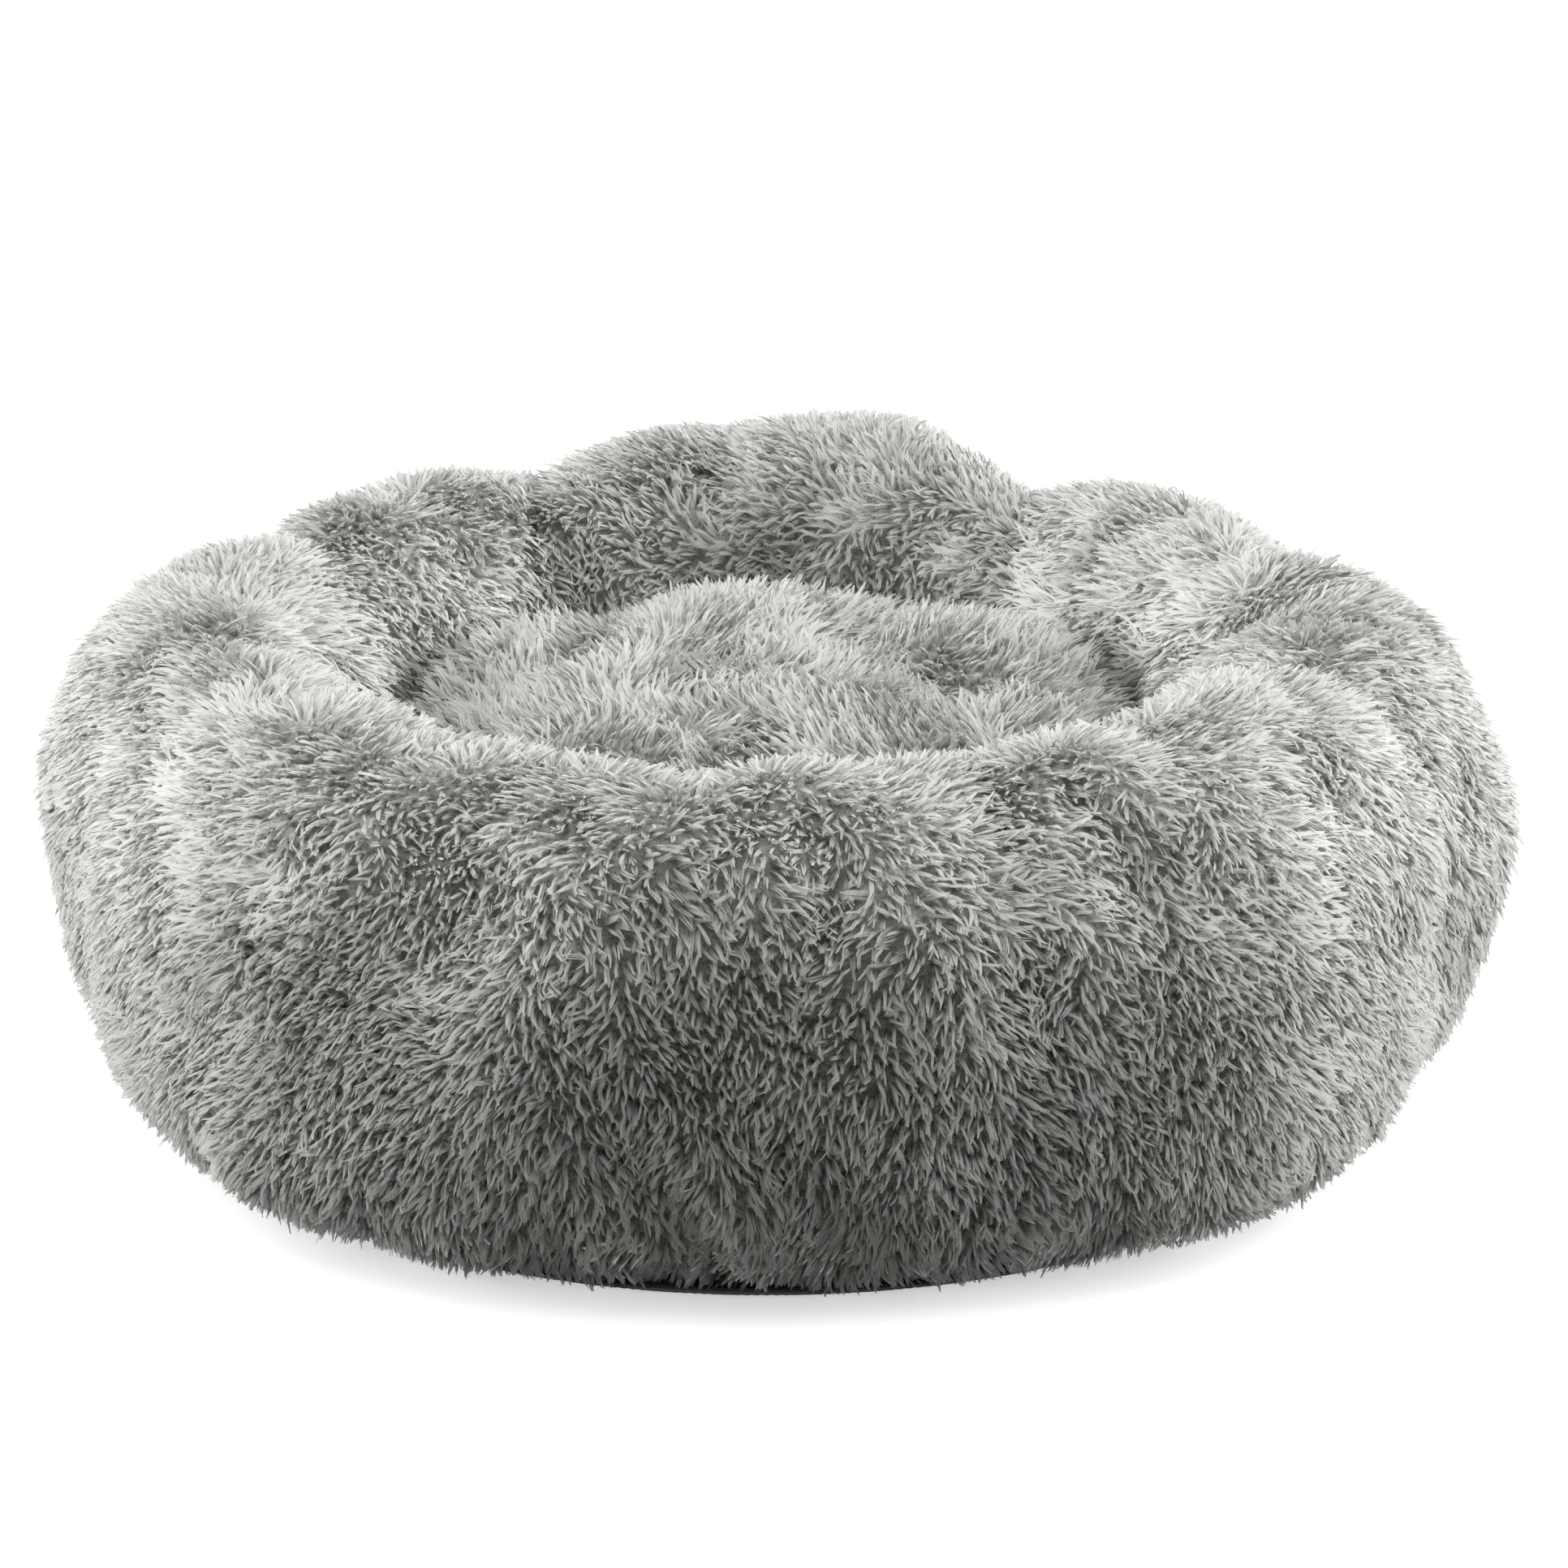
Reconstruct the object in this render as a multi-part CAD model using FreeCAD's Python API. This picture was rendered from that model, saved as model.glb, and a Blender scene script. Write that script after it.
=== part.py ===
"""Round bolster pet bed: a ring of eight stuffed chambers round a loose cushion.

Millimetres. The origin is the centre of the underside, on the floor, with +Z up.
Bearings are degrees clockwise from +Y, seen from above, so 90 is +X.
"""
import FreeCAD
import Part
import math
import os

# Overall sizes
BED_RADIUS = 300.0          # to the widest point of a chamber
RIM_HEIGHT = 200.0          # floor to the crown of a chamber
WELL_RADIUS = 143.0         # narrowest point between the chambers
BULGE_HEIGHT = 98.0         # height of the widest and narrowest points
UNDER_CURVE = 108.0         # half axis of the ellipse below the bulge
SEAM_BEARINGS = (26.0, 68.0, 112.0, 158.0, 204.0, 250.0, 294.0, 334.0)

# How far the surface is drawn in at a seam
SEAM_DRAW_OUT = 12.0
SEAM_DRAW_IN = 8.0
SEAM_DRAW_TOP = 14.0
PUFF_POWER = 3.0            # higher keeps a chamber full closer to its seams
SECTIONS = 7                # sections along one chamber
ARCH_POINTS = 13            # points round one section

# Cloth and clearances
FUR_THICKNESS = 8.0         # backing with its pile pressed down
CLOTH = 1.5
LINING = 1.2
FILL_GAP = 0.4
SEAM_GAP = 0.6
BODY_GAP = 0.8

# Underside
DOT_HEIGHT = 1.0
DOT_RADIUS = 5.0
DOT_RINGS = ((53.0, 8), (18.0, 16))     # distance in from the base's edge, dots on the ring
BASE_MARGIN = 0.3           # base cloth beyond the foot of a seam
BINDING_WIDTH = 4.0
PANEL_LIFT = 8.0            # rise of the middle of the base, which carries the zip
LIFT_MARGIN = 1.0           # flat left beyond the end of the zip pull
LIFT_SLOPE = 20.0
LABEL_LENGTH = 45.0
LABEL_WIDTH = 28.0
LABEL_THICKNESS = 0.4
LABEL_OFFSET = 55.0

# Zip
ZIP_LENGTH = 200.0
ZIP_SLOT_WIDTH = 20.0
TAPE_WIDTH = 15.0
TAPE_THICKNESS = 0.7
TAPE_SPLIT = 1.6            # between the two tape edges
TOOTH_SPLIT = 1.0           # between the two rows of teeth
TOOTH_REACH = 2.7
TOOTH_LENGTH = 1.5
TOOTH_HEIGHT = 1.9
TOOTH_PITCH = 3.0
STOP_LENGTH = 3.0
SLIDER_LENGTH = 11.0
SLIDER_PLATE = 1.0
SLIDER_GAP = 0.25
NECK_LENGTH = 3.0
FLANGE = 1.4
BRIDGE_WIDTH = 2.0
BRIDGE_DROP = 2.6
PIN_RADIUS = 0.6
PULL_LENGTH = 24.0
PULL_WIDTH = 8.0
PULL_THICKNESS = 1.2

# Well and cushion
WELL_FLOOR_GAP = 1.5        # between the zip slider and the lining above it
WELL_WALL_GAP = 4.0         # between the lining and the chambers
CUSHION_GAP = 3.5           # between the cushion and the narrowest point
CUSHION_THICKNESS = 145.0
CUSHION_BASE_RADIUS = 128.0
CUSHION_SHOULDER = 2.0      # how far the top edge spills over the bulge

# Worked-out heights
BASE_BOTTOM = DOT_HEIGHT
BASE_TOP = BASE_BOTTOM + CLOTH
PANEL_BOTTOM = BASE_BOTTOM + PANEL_LIFT
PANEL_TOP = PANEL_BOTTOM + CLOTH
TAPE_TOP = PANEL_TOP + TAPE_THICKNESS
TOOTH_BOTTOM = PANEL_TOP - TOOTH_HEIGHT
SLIDER_LOW = TOOTH_BOTTOM - SLIDER_GAP - SLIDER_PLATE
SLIDER_TOP = TAPE_TOP + SLIDER_GAP + SLIDER_PLATE
WELL_BOTTOM = SLIDER_TOP + WELL_FLOOR_GAP
WELL_TOP = WELL_BOTTOM + LINING
CUSHION_BOTTOM = WELL_TOP + BODY_GAP
CUSHION_RADIUS = WELL_RADIUS - CUSHION_GAP
PIN_HEIGHT = SLIDER_LOW - PIN_RADIUS - SLIDER_GAP
LIFT_RADIUS = ZIP_LENGTH / 2.0 + PULL_LENGTH + LIFT_MARGIN

AXIS = FreeCAD.Vector(0.0, 0.0, 1.0)
CENTRE = FreeCAD.Vector(0.0, 0.0, 0.0)


def polar(radius, height, bearing):
    """Point at a radius and height, on a bearing."""
    angle = math.radians(bearing)
    return FreeCAD.Vector(radius * math.sin(angle), radius * math.cos(angle), height)


def puff(share):
    """How full a chamber is at a share of the way from seam to seam: 0 at a seam, 1 mid-way."""
    return 1.0 - abs(2.0 * share - 1.0) ** PUFF_POWER


def arch(share, bearing, inset, base):
    """Points over one section, from its outer to its inner foot, held inside by an inset."""
    slack = 1.0 - puff(share)
    outer = BED_RADIUS - SEAM_DRAW_OUT * slack - inset
    inner = WELL_RADIUS + SEAM_DRAW_IN * slack + inset
    rise = RIM_HEIGHT - SEAM_DRAW_TOP * slack - inset - BULGE_HEIGHT
    fall = UNDER_CURVE - inset
    middle = (outer + inner) / 2.0
    reach = (outer - inner) / 2.0
    foot = math.asin((BULGE_HEIGHT - base) / fall)
    points = []
    for index in range(ARCH_POINTS):
        angle = -foot + (math.pi + 2.0 * foot) * index / (ARCH_POINTS - 1)
        half_axis = rise if math.sin(angle) > 0.0 else fall
        radius = middle + reach * math.cos(angle)
        points.append(polar(radius, BULGE_HEIGHT + half_axis * math.sin(angle), bearing))
    return points


def curve(points, start=None, end=None):
    """Smooth edge through points, leaving and arriving along given directions if there are any."""
    spline = Part.BSplineCurve()
    if start and end:
        spline.interpolate(Points=points, InitialTangent=start, FinalTangent=end)
    else:
        spline.interpolate(points)
    return spline.toShape()


def closed_section(share, bearing, inset, base):
    """Closed section of a chamber's filling."""
    points = arch(share, bearing, inset, base)
    return Part.Wire([curve(points), Part.makeLine(points[-1], points[0])])


def shell_section(share, bearing, base):
    """Closed section of the fur panel that wraps over a chamber."""
    outer = arch(share, bearing, 0.0, base)
    inner = arch(share, bearing, FUR_THICKNESS, base)
    return Part.Wire([
        curve(outer),
        Part.makeLine(outer[-1], inner[-1]),
        curve(inner[::-1]),
        Part.makeLine(inner[0], outer[0]),
    ])


def chamber_stations(start, end, gap):
    """Share and bearing of each section along a chamber, a gap short of both seams."""
    trim = math.degrees(gap / (BED_RADIUS + WELL_RADIUS) * 2.0)
    stations = []
    for index in range(SECTIONS):
        share = index / (SECTIONS - 1)
        stations.append((share, start + trim + (end - start - 2.0 * trim) * share))
    return stations


def seam_pairs():
    """Bearings of the two seams of each chamber, the back chamber first."""
    last = SEAM_BEARINGS[-1] - 360.0
    starts = (last,) + SEAM_BEARINGS[:-1]
    return list(zip(starts, SEAM_BEARINGS))


def fur_panel(start, end):
    """Fur gore from seam to seam, open towards the base cloth."""
    stations = chamber_stations(start, end, SEAM_GAP / 2.0)
    return Part.makeLoft([shell_section(share, bearing, BASE_TOP) for share, bearing in stations], True)


def chamber_fill(start, end):
    """Stuffing of one chamber, clear of its panel, its dividers and the base cloth."""
    inset = FUR_THICKNESS + FILL_GAP
    stations = chamber_stations(start, end, LINING / 2.0 + FILL_GAP)
    sections = [closed_section(share, bearing, inset, BASE_TOP + FILL_GAP) for share, bearing in stations]
    return Part.makeLoft(sections, True)


def divider(bearing):
    """Lining cloth that stands on a seam and parts two chambers."""
    section = closed_section(0.0, bearing, FUR_THICKNESS + FILL_GAP, BASE_TOP)
    side = polar(LINING, 0.0, bearing + 90.0)
    plate = Part.Face(section).extrude(side)
    plate.translate(side * -0.5)
    return plate


def foot_radii(slack, height):
    """Inner and outer radius of a chamber at a height below the bulge."""
    outer = BED_RADIUS - SEAM_DRAW_OUT * slack
    inner = WELL_RADIUS + SEAM_DRAW_IN * slack
    middle = (outer + inner) / 2.0
    drop = (BULGE_HEIGHT - height) / UNDER_CURVE
    reach = (outer - inner) / 2.0 * math.sqrt(1.0 - drop * drop)
    return middle - reach, middle + reach


BASE_RADIUS = foot_radii(1.0, BASE_TOP)[1] + BASE_MARGIN


def ring(inner, outer, bottom, height):
    """Flat ring about the vertical axis."""
    low = FreeCAD.Vector(0.0, 0.0, bottom)
    return Part.makeCylinder(outer, height, low).cut(Part.makeCylinder(inner, height, low))


def revolved(points):
    """Solid of revolution of a closed outline given as (radius, height) pairs."""
    corners = [FreeCAD.Vector(radius, 0.0, height) for radius, height in points]
    face = Part.Face(Part.makePolygon(corners + corners[:1]))
    return face.revolve(CENTRE, AXIS, 360.0)


def block(low, high):
    """Box between two corners."""
    corner = FreeCAD.Vector(*low)
    size = FreeCAD.Vector(*high) - corner
    return Part.makeBox(size.x, size.y, size.z, corner)


def base_cloth():
    """Underside cloth: flat below the chambers, raised in the middle, slotted for the zip."""
    foot = LIFT_RADIUS + LIFT_SLOPE
    sheet = revolved([
        (0.0, PANEL_BOTTOM), (LIFT_RADIUS, PANEL_BOTTOM), (foot, BASE_BOTTOM), (BASE_RADIUS, BASE_BOTTOM),
        (BASE_RADIUS, BASE_TOP), (foot, BASE_TOP), (LIFT_RADIUS, PANEL_TOP), (0.0, PANEL_TOP),
    ])
    half = ZIP_LENGTH / 2.0
    side = ZIP_SLOT_WIDTH / 2.0
    return sheet.cut(block((-half, -side, PANEL_BOTTOM - CLOTH), (half, side, PANEL_TOP + CLOTH)))


def grip_dots():
    """Rubber dots below the base cloth."""
    dots = []
    for inset, count in DOT_RINGS:
        for index in range(count):
            place = polar(BASE_RADIUS - inset, 0.0, 360.0 * (index + 0.5) / count)
            dots.append(Part.makeCylinder(DOT_RADIUS, DOT_HEIGHT, place))
    return Part.makeCompound(dots)


def hem_radius():
    """Radius of the lining's hem, clear of the chambers above its binding."""
    return foot_radii(0.0, BASE_TOP + CLOTH)[0] - WELL_WALL_GAP


def well_floor():
    """Lining under the cushion, its skirt turned down to the base cloth."""
    top = foot_radii(0.0, WELL_TOP)[0] - WELL_WALL_GAP
    hem = hem_radius()
    return revolved([
        (0.0, WELL_BOTTOM), (top - LINING, WELL_BOTTOM), (hem - LINING, BASE_TOP), (hem, BASE_TOP),
        (top, WELL_TOP), (0.0, WELL_TOP),
    ])


def inner_binding():
    """Tape that joins the lining's hem to the base cloth."""
    hem = hem_radius()
    return ring(hem, hem + WELL_WALL_GAP / 2.0, BASE_TOP, CLOTH)


def zip_tape(side):
    """One tape, lying on the base cloth along one edge of the slot."""
    half = ZIP_LENGTH / 2.0 + STOP_LENGTH
    near = TAPE_SPLIT / 2.0
    tape = block((-half, near, PANEL_TOP), (half, near + TAPE_WIDTH, TAPE_TOP))
    return tape if side > 0 else tape.mirror(CENTRE, FreeCAD.Vector(0.0, 1.0, 0.0))


def tooth(start, length, side):
    """One tooth below a tape, from a place along the zip."""
    near = TOOTH_SPLIT / 2.0 if side > 0 else -TOOTH_SPLIT / 2.0 - TOOTH_REACH
    low = (start, near, TOOTH_BOTTOM)
    return block(low, (start + length, near + TOOTH_REACH, PANEL_TOP))


def zip_teeth(side):
    """One row of teeth, half a pitch out of step with the other."""
    reach = ZIP_LENGTH / 2.0 - 2.0 * STOP_LENGTH
    count = int(2.0 * reach / TOOTH_PITCH)
    stagger = TOOTH_PITCH / 2.0 if side > 0 else 0.0
    return Part.makeCompound([tooth(-reach + stagger + TOOTH_PITCH * index, TOOTH_LENGTH, side)
                              for index in range(count)])


def zip_top_stops():
    """A stop on each tape, at the closed end."""
    start = ZIP_LENGTH / 2.0 - STOP_LENGTH
    return Part.makeCompound([tooth(start, STOP_LENGTH, side) for side in (1, -1)])


def zip_bottom_stop():
    """Clip across both tapes, at the open end."""
    start = -ZIP_LENGTH / 2.0
    wide = TOOTH_SPLIT / 2.0 + TOOTH_REACH
    return block((start, -wide, TOOTH_BOTTOM), (start + STOP_LENGTH, wide, PANEL_TOP))


def slider_place():
    """Middle of the slider along the zip, when the zip is closed."""
    return ZIP_LENGTH / 2.0 - STOP_LENGTH - SLIDER_GAP - SLIDER_LENGTH / 2.0


def zip_slider():
    """Slider: wings above and below the zip, a neck between the rows, and a bridge below."""
    place = slider_place()
    back = place - SLIDER_LENGTH / 2.0
    front = place + SLIDER_LENGTH / 2.0
    flank = TOOTH_SPLIT / 2.0 + TOOTH_REACH + SLIDER_GAP
    wing = flank + FLANGE
    neck = TOOTH_SPLIT / 2.0 - SLIDER_GAP
    low_top = SLIDER_LOW + SLIDER_PLATE
    flange_top = PANEL_TOP - SLIDER_GAP
    half_bridge = BRIDGE_WIDTH / 2.0
    post = BRIDGE_DROP * 0.5
    bridge_low = SLIDER_LOW - BRIDGE_DROP
    pieces = [
        block((back, -wing, SLIDER_LOW), (front, wing, low_top)),
        block((back, flank, low_top), (front, wing, flange_top)),
        block((back, -wing, low_top), (front, -flank, flange_top)),
        block((back, -wing, SLIDER_TOP - SLIDER_PLATE), (front, wing, SLIDER_TOP)),
        block((front - NECK_LENGTH, -neck, low_top), (front, neck, SLIDER_TOP - SLIDER_PLATE)),
        block((place - 2.0 * post - PIN_RADIUS, -half_bridge, bridge_low),
              (place - post - PIN_RADIUS, half_bridge, SLIDER_LOW)),
        block((place + post + PIN_RADIUS, -half_bridge, bridge_low),
              (place + 2.0 * post + PIN_RADIUS, half_bridge, SLIDER_LOW)),
        block((place - post - PIN_RADIUS, -half_bridge, bridge_low),
              (place + post + PIN_RADIUS, half_bridge, bridge_low + SLIDER_PLATE * 0.6)),
    ]
    return pieces[0].multiFuse(pieces[1:]).removeSplitter()


def zip_pull():
    """Tab whose cross pin lies in the slider's bridge."""
    place = slider_place()
    arm = PULL_WIDTH / 2.0 - (BRIDGE_WIDTH / 2.0 + SLIDER_GAP)
    half = PULL_WIDTH / 2.0
    window = BRIDGE_DROP + 2.0 * PIN_RADIUS + SLIDER_PLATE
    low = PIN_HEIGHT - PULL_THICKNESS / 2.0
    high = PIN_HEIGHT + PULL_THICKNESS / 2.0
    pin = Part.makeCylinder(PIN_RADIUS, PULL_WIDTH, FreeCAD.Vector(place, -half, PIN_HEIGHT),
                            FreeCAD.Vector(0.0, 1.0, 0.0))
    pieces = [
        pin,
        block((place, half - arm, low), (place + PULL_LENGTH, half, high)),
        block((place, -half, low), (place + PULL_LENGTH, -half + arm, high)),
        block((place + window, -half, low), (place + PULL_LENGTH, half, high)),
    ]
    return pieces[0].multiFuse(pieces[1:]).removeSplitter()


def care_label():
    """Blank label on the underside, beside the zip."""
    return block((-LABEL_LENGTH / 2.0, -LABEL_OFFSET - LABEL_WIDTH, PANEL_BOTTOM - LABEL_THICKNESS),
                 (LABEL_LENGTH / 2.0, -LABEL_OFFSET, PANEL_BOTTOM))


def cushion_outline(inset, base):
    """Points up the side and over the top of the cushion, from its foot to its middle."""
    top = CUSHION_BOTTOM + CUSHION_THICKNESS - inset
    tall = top - base
    shoulder = CUSHION_RADIUS + CUSHION_SHOULDER - inset
    side = CUSHION_RADIUS - inset
    foot = CUSHION_BASE_RADIUS - inset
    return [
        FreeCAD.Vector(foot, 0.0, base),
        FreeCAD.Vector(side - CUSHION_SHOULDER, 0.0, base + tall * 0.2),
        FreeCAD.Vector(side, 0.0, base + tall * 0.5),
        FreeCAD.Vector(shoulder, 0.0, base + tall * 0.8),
        FreeCAD.Vector(shoulder * 0.88, 0.0, base + tall * 0.93),
        FreeCAD.Vector(shoulder * 0.45, 0.0, base + tall * 0.985),
        FreeCAD.Vector(0.0, 0.0, top),
    ]


def cushion_solid(inset, base):
    """Solid of revolution inside the cushion's outline."""
    points = cushion_outline(inset, base)
    middle = FreeCAD.Vector(0.0, 0.0, base)
    side = curve(points, start=FreeCAD.Vector(0.5, 0.0, 1.0), end=FreeCAD.Vector(-1.0, 0.0, 0.0))
    outline = Part.Wire([side, Part.makeLine(points[-1], middle), Part.makeLine(middle, points[0])])
    return Part.Face(outline).revolve(CENTRE, AXIS, 360.0)


def cushion_cover_top():
    """Fur cover of the cushion, open below."""
    base = CUSHION_BOTTOM + LINING
    return cushion_solid(0.0, base).cut(cushion_solid(FUR_THICKNESS, base))


def cushion_cover_base():
    """Lining disc that closes the cushion below."""
    return Part.makeCylinder(CUSHION_BASE_RADIUS - BINDING_WIDTH, LINING,
                             FreeCAD.Vector(0.0, 0.0, CUSHION_BOTTOM))


def build():
    """Every piece, by node name."""
    pieces = {}
    for number, (start, end) in enumerate(seam_pairs(), 1):
        pieces[f"rim_panel_{number}"] = fur_panel(start, end)
        pieces[f"rim_fill_{number}"] = chamber_fill(start, end)
        pieces[f"rim_divider_{number}"] = divider(end)
    pieces["base_cloth"] = base_cloth()
    pieces["base_binding"] = ring(BASE_RADIUS, BASE_RADIUS + BINDING_WIDTH, BASE_BOTTOM, CLOTH)
    pieces["grip_dots"] = grip_dots()
    pieces["well_floor"] = well_floor()
    pieces["inner_binding"] = inner_binding()
    for name, side in (("left", -1), ("right", 1)):
        pieces[f"zip_tape_{name}"] = zip_tape(side)
        pieces[f"zip_teeth_{name}"] = zip_teeth(side)
    pieces["zip_top_stops"] = zip_top_stops()
    pieces["zip_bottom_stop"] = zip_bottom_stop()
    pieces["zip_slider"] = zip_slider()
    pieces["zip_pull"] = zip_pull()
    pieces["care_label"] = care_label()
    pieces["cushion_cover_top"] = cushion_cover_top()
    pieces["cushion_cover_base"] = cushion_cover_base()
    pieces["cushion_binding"] = ring(CUSHION_BASE_RADIUS - BINDING_WIDTH, CUSHION_BASE_RADIUS,
                                     CUSHION_BOTTOM, LINING)
    pieces["cushion_fill"] = cushion_solid(FUR_THICKNESS + FILL_GAP, CUSHION_BOTTOM + LINING + FILL_GAP)
    return pieces


def main():
    """Build every piece, say what it is, and write it."""
    os.makedirs("parts", exist_ok=True)
    for node, shape in build().items():
        box = shape.BoundBox
        print(f"{node}: {len(shape.Solids)} solid(s), valid {shape.isValid()}, "
              f"{shape.Volume / 1000.0:.1f} cm3, z {box.ZMin:.2f} to {box.ZMax:.2f}, "
              f"x {box.XMin:.1f} to {box.XMax:.1f}")
        shape.exportStep(f"parts/{node}.step")


main()
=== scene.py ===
"""Visual model of a plush ring bed: long fur over stuffed chambers, a loose cushion, a zipped underside.

Metres, +Z up, with the origin at the centre of the underside, on the floor. A bearing is in degrees
clockwise from +Y, seen from above, so 90 is +X.
"""

import logging
import math
from dataclasses import dataclass
from enum import Enum

import bpy
import numpy as np
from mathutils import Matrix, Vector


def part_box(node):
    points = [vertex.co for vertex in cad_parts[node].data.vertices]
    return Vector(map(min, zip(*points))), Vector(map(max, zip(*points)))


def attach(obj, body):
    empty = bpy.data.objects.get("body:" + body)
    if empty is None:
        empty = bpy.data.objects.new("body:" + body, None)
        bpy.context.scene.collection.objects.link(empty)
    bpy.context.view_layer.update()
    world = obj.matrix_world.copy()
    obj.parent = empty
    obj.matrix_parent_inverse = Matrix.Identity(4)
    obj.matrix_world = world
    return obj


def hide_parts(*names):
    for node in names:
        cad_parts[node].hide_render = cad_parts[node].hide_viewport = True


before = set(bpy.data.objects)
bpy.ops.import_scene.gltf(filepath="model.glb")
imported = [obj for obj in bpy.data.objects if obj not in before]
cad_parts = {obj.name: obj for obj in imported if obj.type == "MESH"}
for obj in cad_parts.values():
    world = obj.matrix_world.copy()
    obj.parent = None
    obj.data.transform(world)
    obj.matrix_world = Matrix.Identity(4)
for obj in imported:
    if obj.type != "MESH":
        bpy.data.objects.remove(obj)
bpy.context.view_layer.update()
LOG = logging.getLogger("bed")
MM = 0.001
UV_MAP = "OFBake"
GREEN_SHARE = 0.1
KNIT_DEPTH = 1.2 * MM
STITCH = (2.6 * MM, 0.9 * MM)
DOWN = np.array([0.0, 0.0, -1.0])
Array = np.ndarray
Colour = tuple[float, float, float, float]


def grey(value: float, warm: float = 0.0) -> Colour:
    """Give a near-neutral colour.

    Args:
        value: how light it is, from 0 to 1.
        warm: how much less blue it holds, as a share of the value.

    Returns:
        The colour with full alpha.
    """
    return (value, value * (1.0 - warm * GREEN_SHARE), value * (1.0 - warm), 1.0)


def darker(colour: Colour, share: float) -> Colour:
    """Scale a colour down to a share of itself."""
    return tuple(part * share for part in colour[:3]) + (1.0,)


class Sock:
    """A shader value that Python arithmetic can be done with: each operator adds a Math node."""

    def __init__(self, shader: "Shader", socket: bpy.types.NodeSocket) -> None:
        """Wrap one output socket of a shader's tree."""
        self.shader = shader
        self.socket = socket

    def _math(self, operation: str, *values: "Sock | float") -> "Sock":
        """Add a Math node whose inputs are the values, in order."""
        return self.shader.node("ShaderNodeMath", {"operation": operation}, dict(enumerate(values)))

    def __add__(self, other: "Sock | float") -> "Sock":
        """Add."""
        return self._math("ADD", self, other)

    __radd__ = __add__

    def __sub__(self, other: "Sock | float") -> "Sock":
        """Subtract."""
        return self._math("SUBTRACT", self, other)

    def __rsub__(self, other: "Sock | float") -> "Sock":
        """Subtract this from a number."""
        return self._math("SUBTRACT", other, self)

    def __mul__(self, other: "Sock | float") -> "Sock":
        """Multiply."""
        return self._math("MULTIPLY", self, other)

    __rmul__ = __mul__

    def __pow__(self, other: "Sock | float") -> "Sock":
        """Raise to a power."""
        return self._math("POWER", self, other)

    def sine(self) -> "Sock":
        """Take the sine, in radians."""
        return self._math("SINE", self)


class Shader:
    """A new material and the nodes that make it."""

    def __init__(self, name: str) -> None:
        """Start an empty tree with a Principled surface."""
        self.material = bpy.data.materials.new(name)
        self.material.use_nodes = True
        self.tree = self.material.node_tree
        self.tree.nodes.clear()
        self.surface = self.tree.nodes.new("ShaderNodeBsdfPrincipled")
        self.output = self.tree.nodes.new("ShaderNodeOutputMaterial")
        self.tree.links.new(self.surface.outputs[0], self.output.inputs[0])

    def feed(self, socket: bpy.types.NodeSocket, value: object) -> None:
        """Link a Sock to a socket, or set the socket's own value."""
        if isinstance(value, Sock):
            self.tree.links.new(value.socket, socket)
        else:
            socket.default_value = value

    def node(self, kind: str, settings: dict | None = None, inputs: dict | None = None,
             output: int | str = 0) -> Sock:
        """Add a node.

        Args:
            kind: the node's type.
            settings: its own properties, set first; "stops" holds a ramp's (place, colour) pairs.
            inputs: values or Socks by socket name or place.
            output: which of its outputs to give back.

        Returns:
            The chosen output.
        """
        node = self.tree.nodes.new(kind)
        for name, value in (settings or {}).items():
            if name == "stops":
                self._stops(node.color_ramp, value)
            else:
                setattr(node, name, value)
        for key, value in (inputs or {}).items():
            self.feed(node.inputs[key], value)
        return Sock(self, node.outputs[output])

    @staticmethod
    def _stops(ramp: bpy.types.ColorRamp, stops: list[tuple[float, Colour]]) -> None:
        """Give a colour ramp its stops."""
        while len(ramp.elements) < len(stops):
            ramp.elements.new(1.0)
        for element, (place, colour) in zip(ramp.elements, stops):
            element.position = place
            element.color = colour

    def mix(self, share: "Sock | float", low: "Sock | Colour", high: "Sock | Colour",
            blend: str = "MIX") -> Sock:
        """Mix two colours."""
        return self.node("ShaderNodeMix", {"data_type": "RGBA", "blend_type": blend},
                         {0: share, 6: low, 7: high}, output=2)

    def place(self) -> Sock:
        """Give the place on the object, in metres."""
        return self.node("ShaderNodeTexCoord", output="Object")

    def along(self, vector: Sock) -> tuple[Sock, Sock, Sock]:
        """Split a vector into its three numbers."""
        node = self.tree.nodes.new("ShaderNodeSeparateXYZ")
        self.feed(node.inputs[0], vector)
        return tuple(Sock(self, output) for output in node.outputs)

    def noise(self, size: float, detail: float) -> Sock:
        """Give soft noise from 0 to 1, read at the place on the object.

        Args:
            size: the width of its largest features, in metres.
            detail: how many finer layers it holds.

        Returns:
            The noise value.
        """
        return self.node("ShaderNodeTexNoise", None,
                         {"Vector": self.place(), "Scale": 1.0 / size, "Detail": detail})

    def bump(self, height: Sock, depth: float) -> None:
        """Let a height from 0 to 1 tilt the surface, by a depth in metres."""
        normal = self.node("ShaderNodeBump", None, {"Strength": 1.0, "Distance": depth, "Height": height})
        self.feed(self.surface.inputs["Normal"], normal)

    def let_through(self, colour: Colour, share: float) -> None:
        """Let a share of the light through the surface, as thin fibre does."""
        through = self.node("ShaderNodeBsdfTranslucent", None, {0: colour})
        both = self.node("ShaderNodeMixShader", None, {0: share, 2: through})
        self.tree.links.new(self.surface.outputs[0], both.socket.node.inputs[1])
        self.tree.links.new(both.socket, self.output.inputs[0])

    def dress(self, colour: "Sock | Colour", roughness: "Sock | float", **constants: float) -> None:
        """Set the surface's colour, roughness and constant sockets, named with _ for a space."""
        self.feed(self.surface.inputs["Base Color"], colour)
        self.feed(self.surface.inputs["Roughness"], roughness)
        for name, value in constants.items():
            self.feed(self.surface.inputs[name.replace("_", " ")], value)


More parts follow.
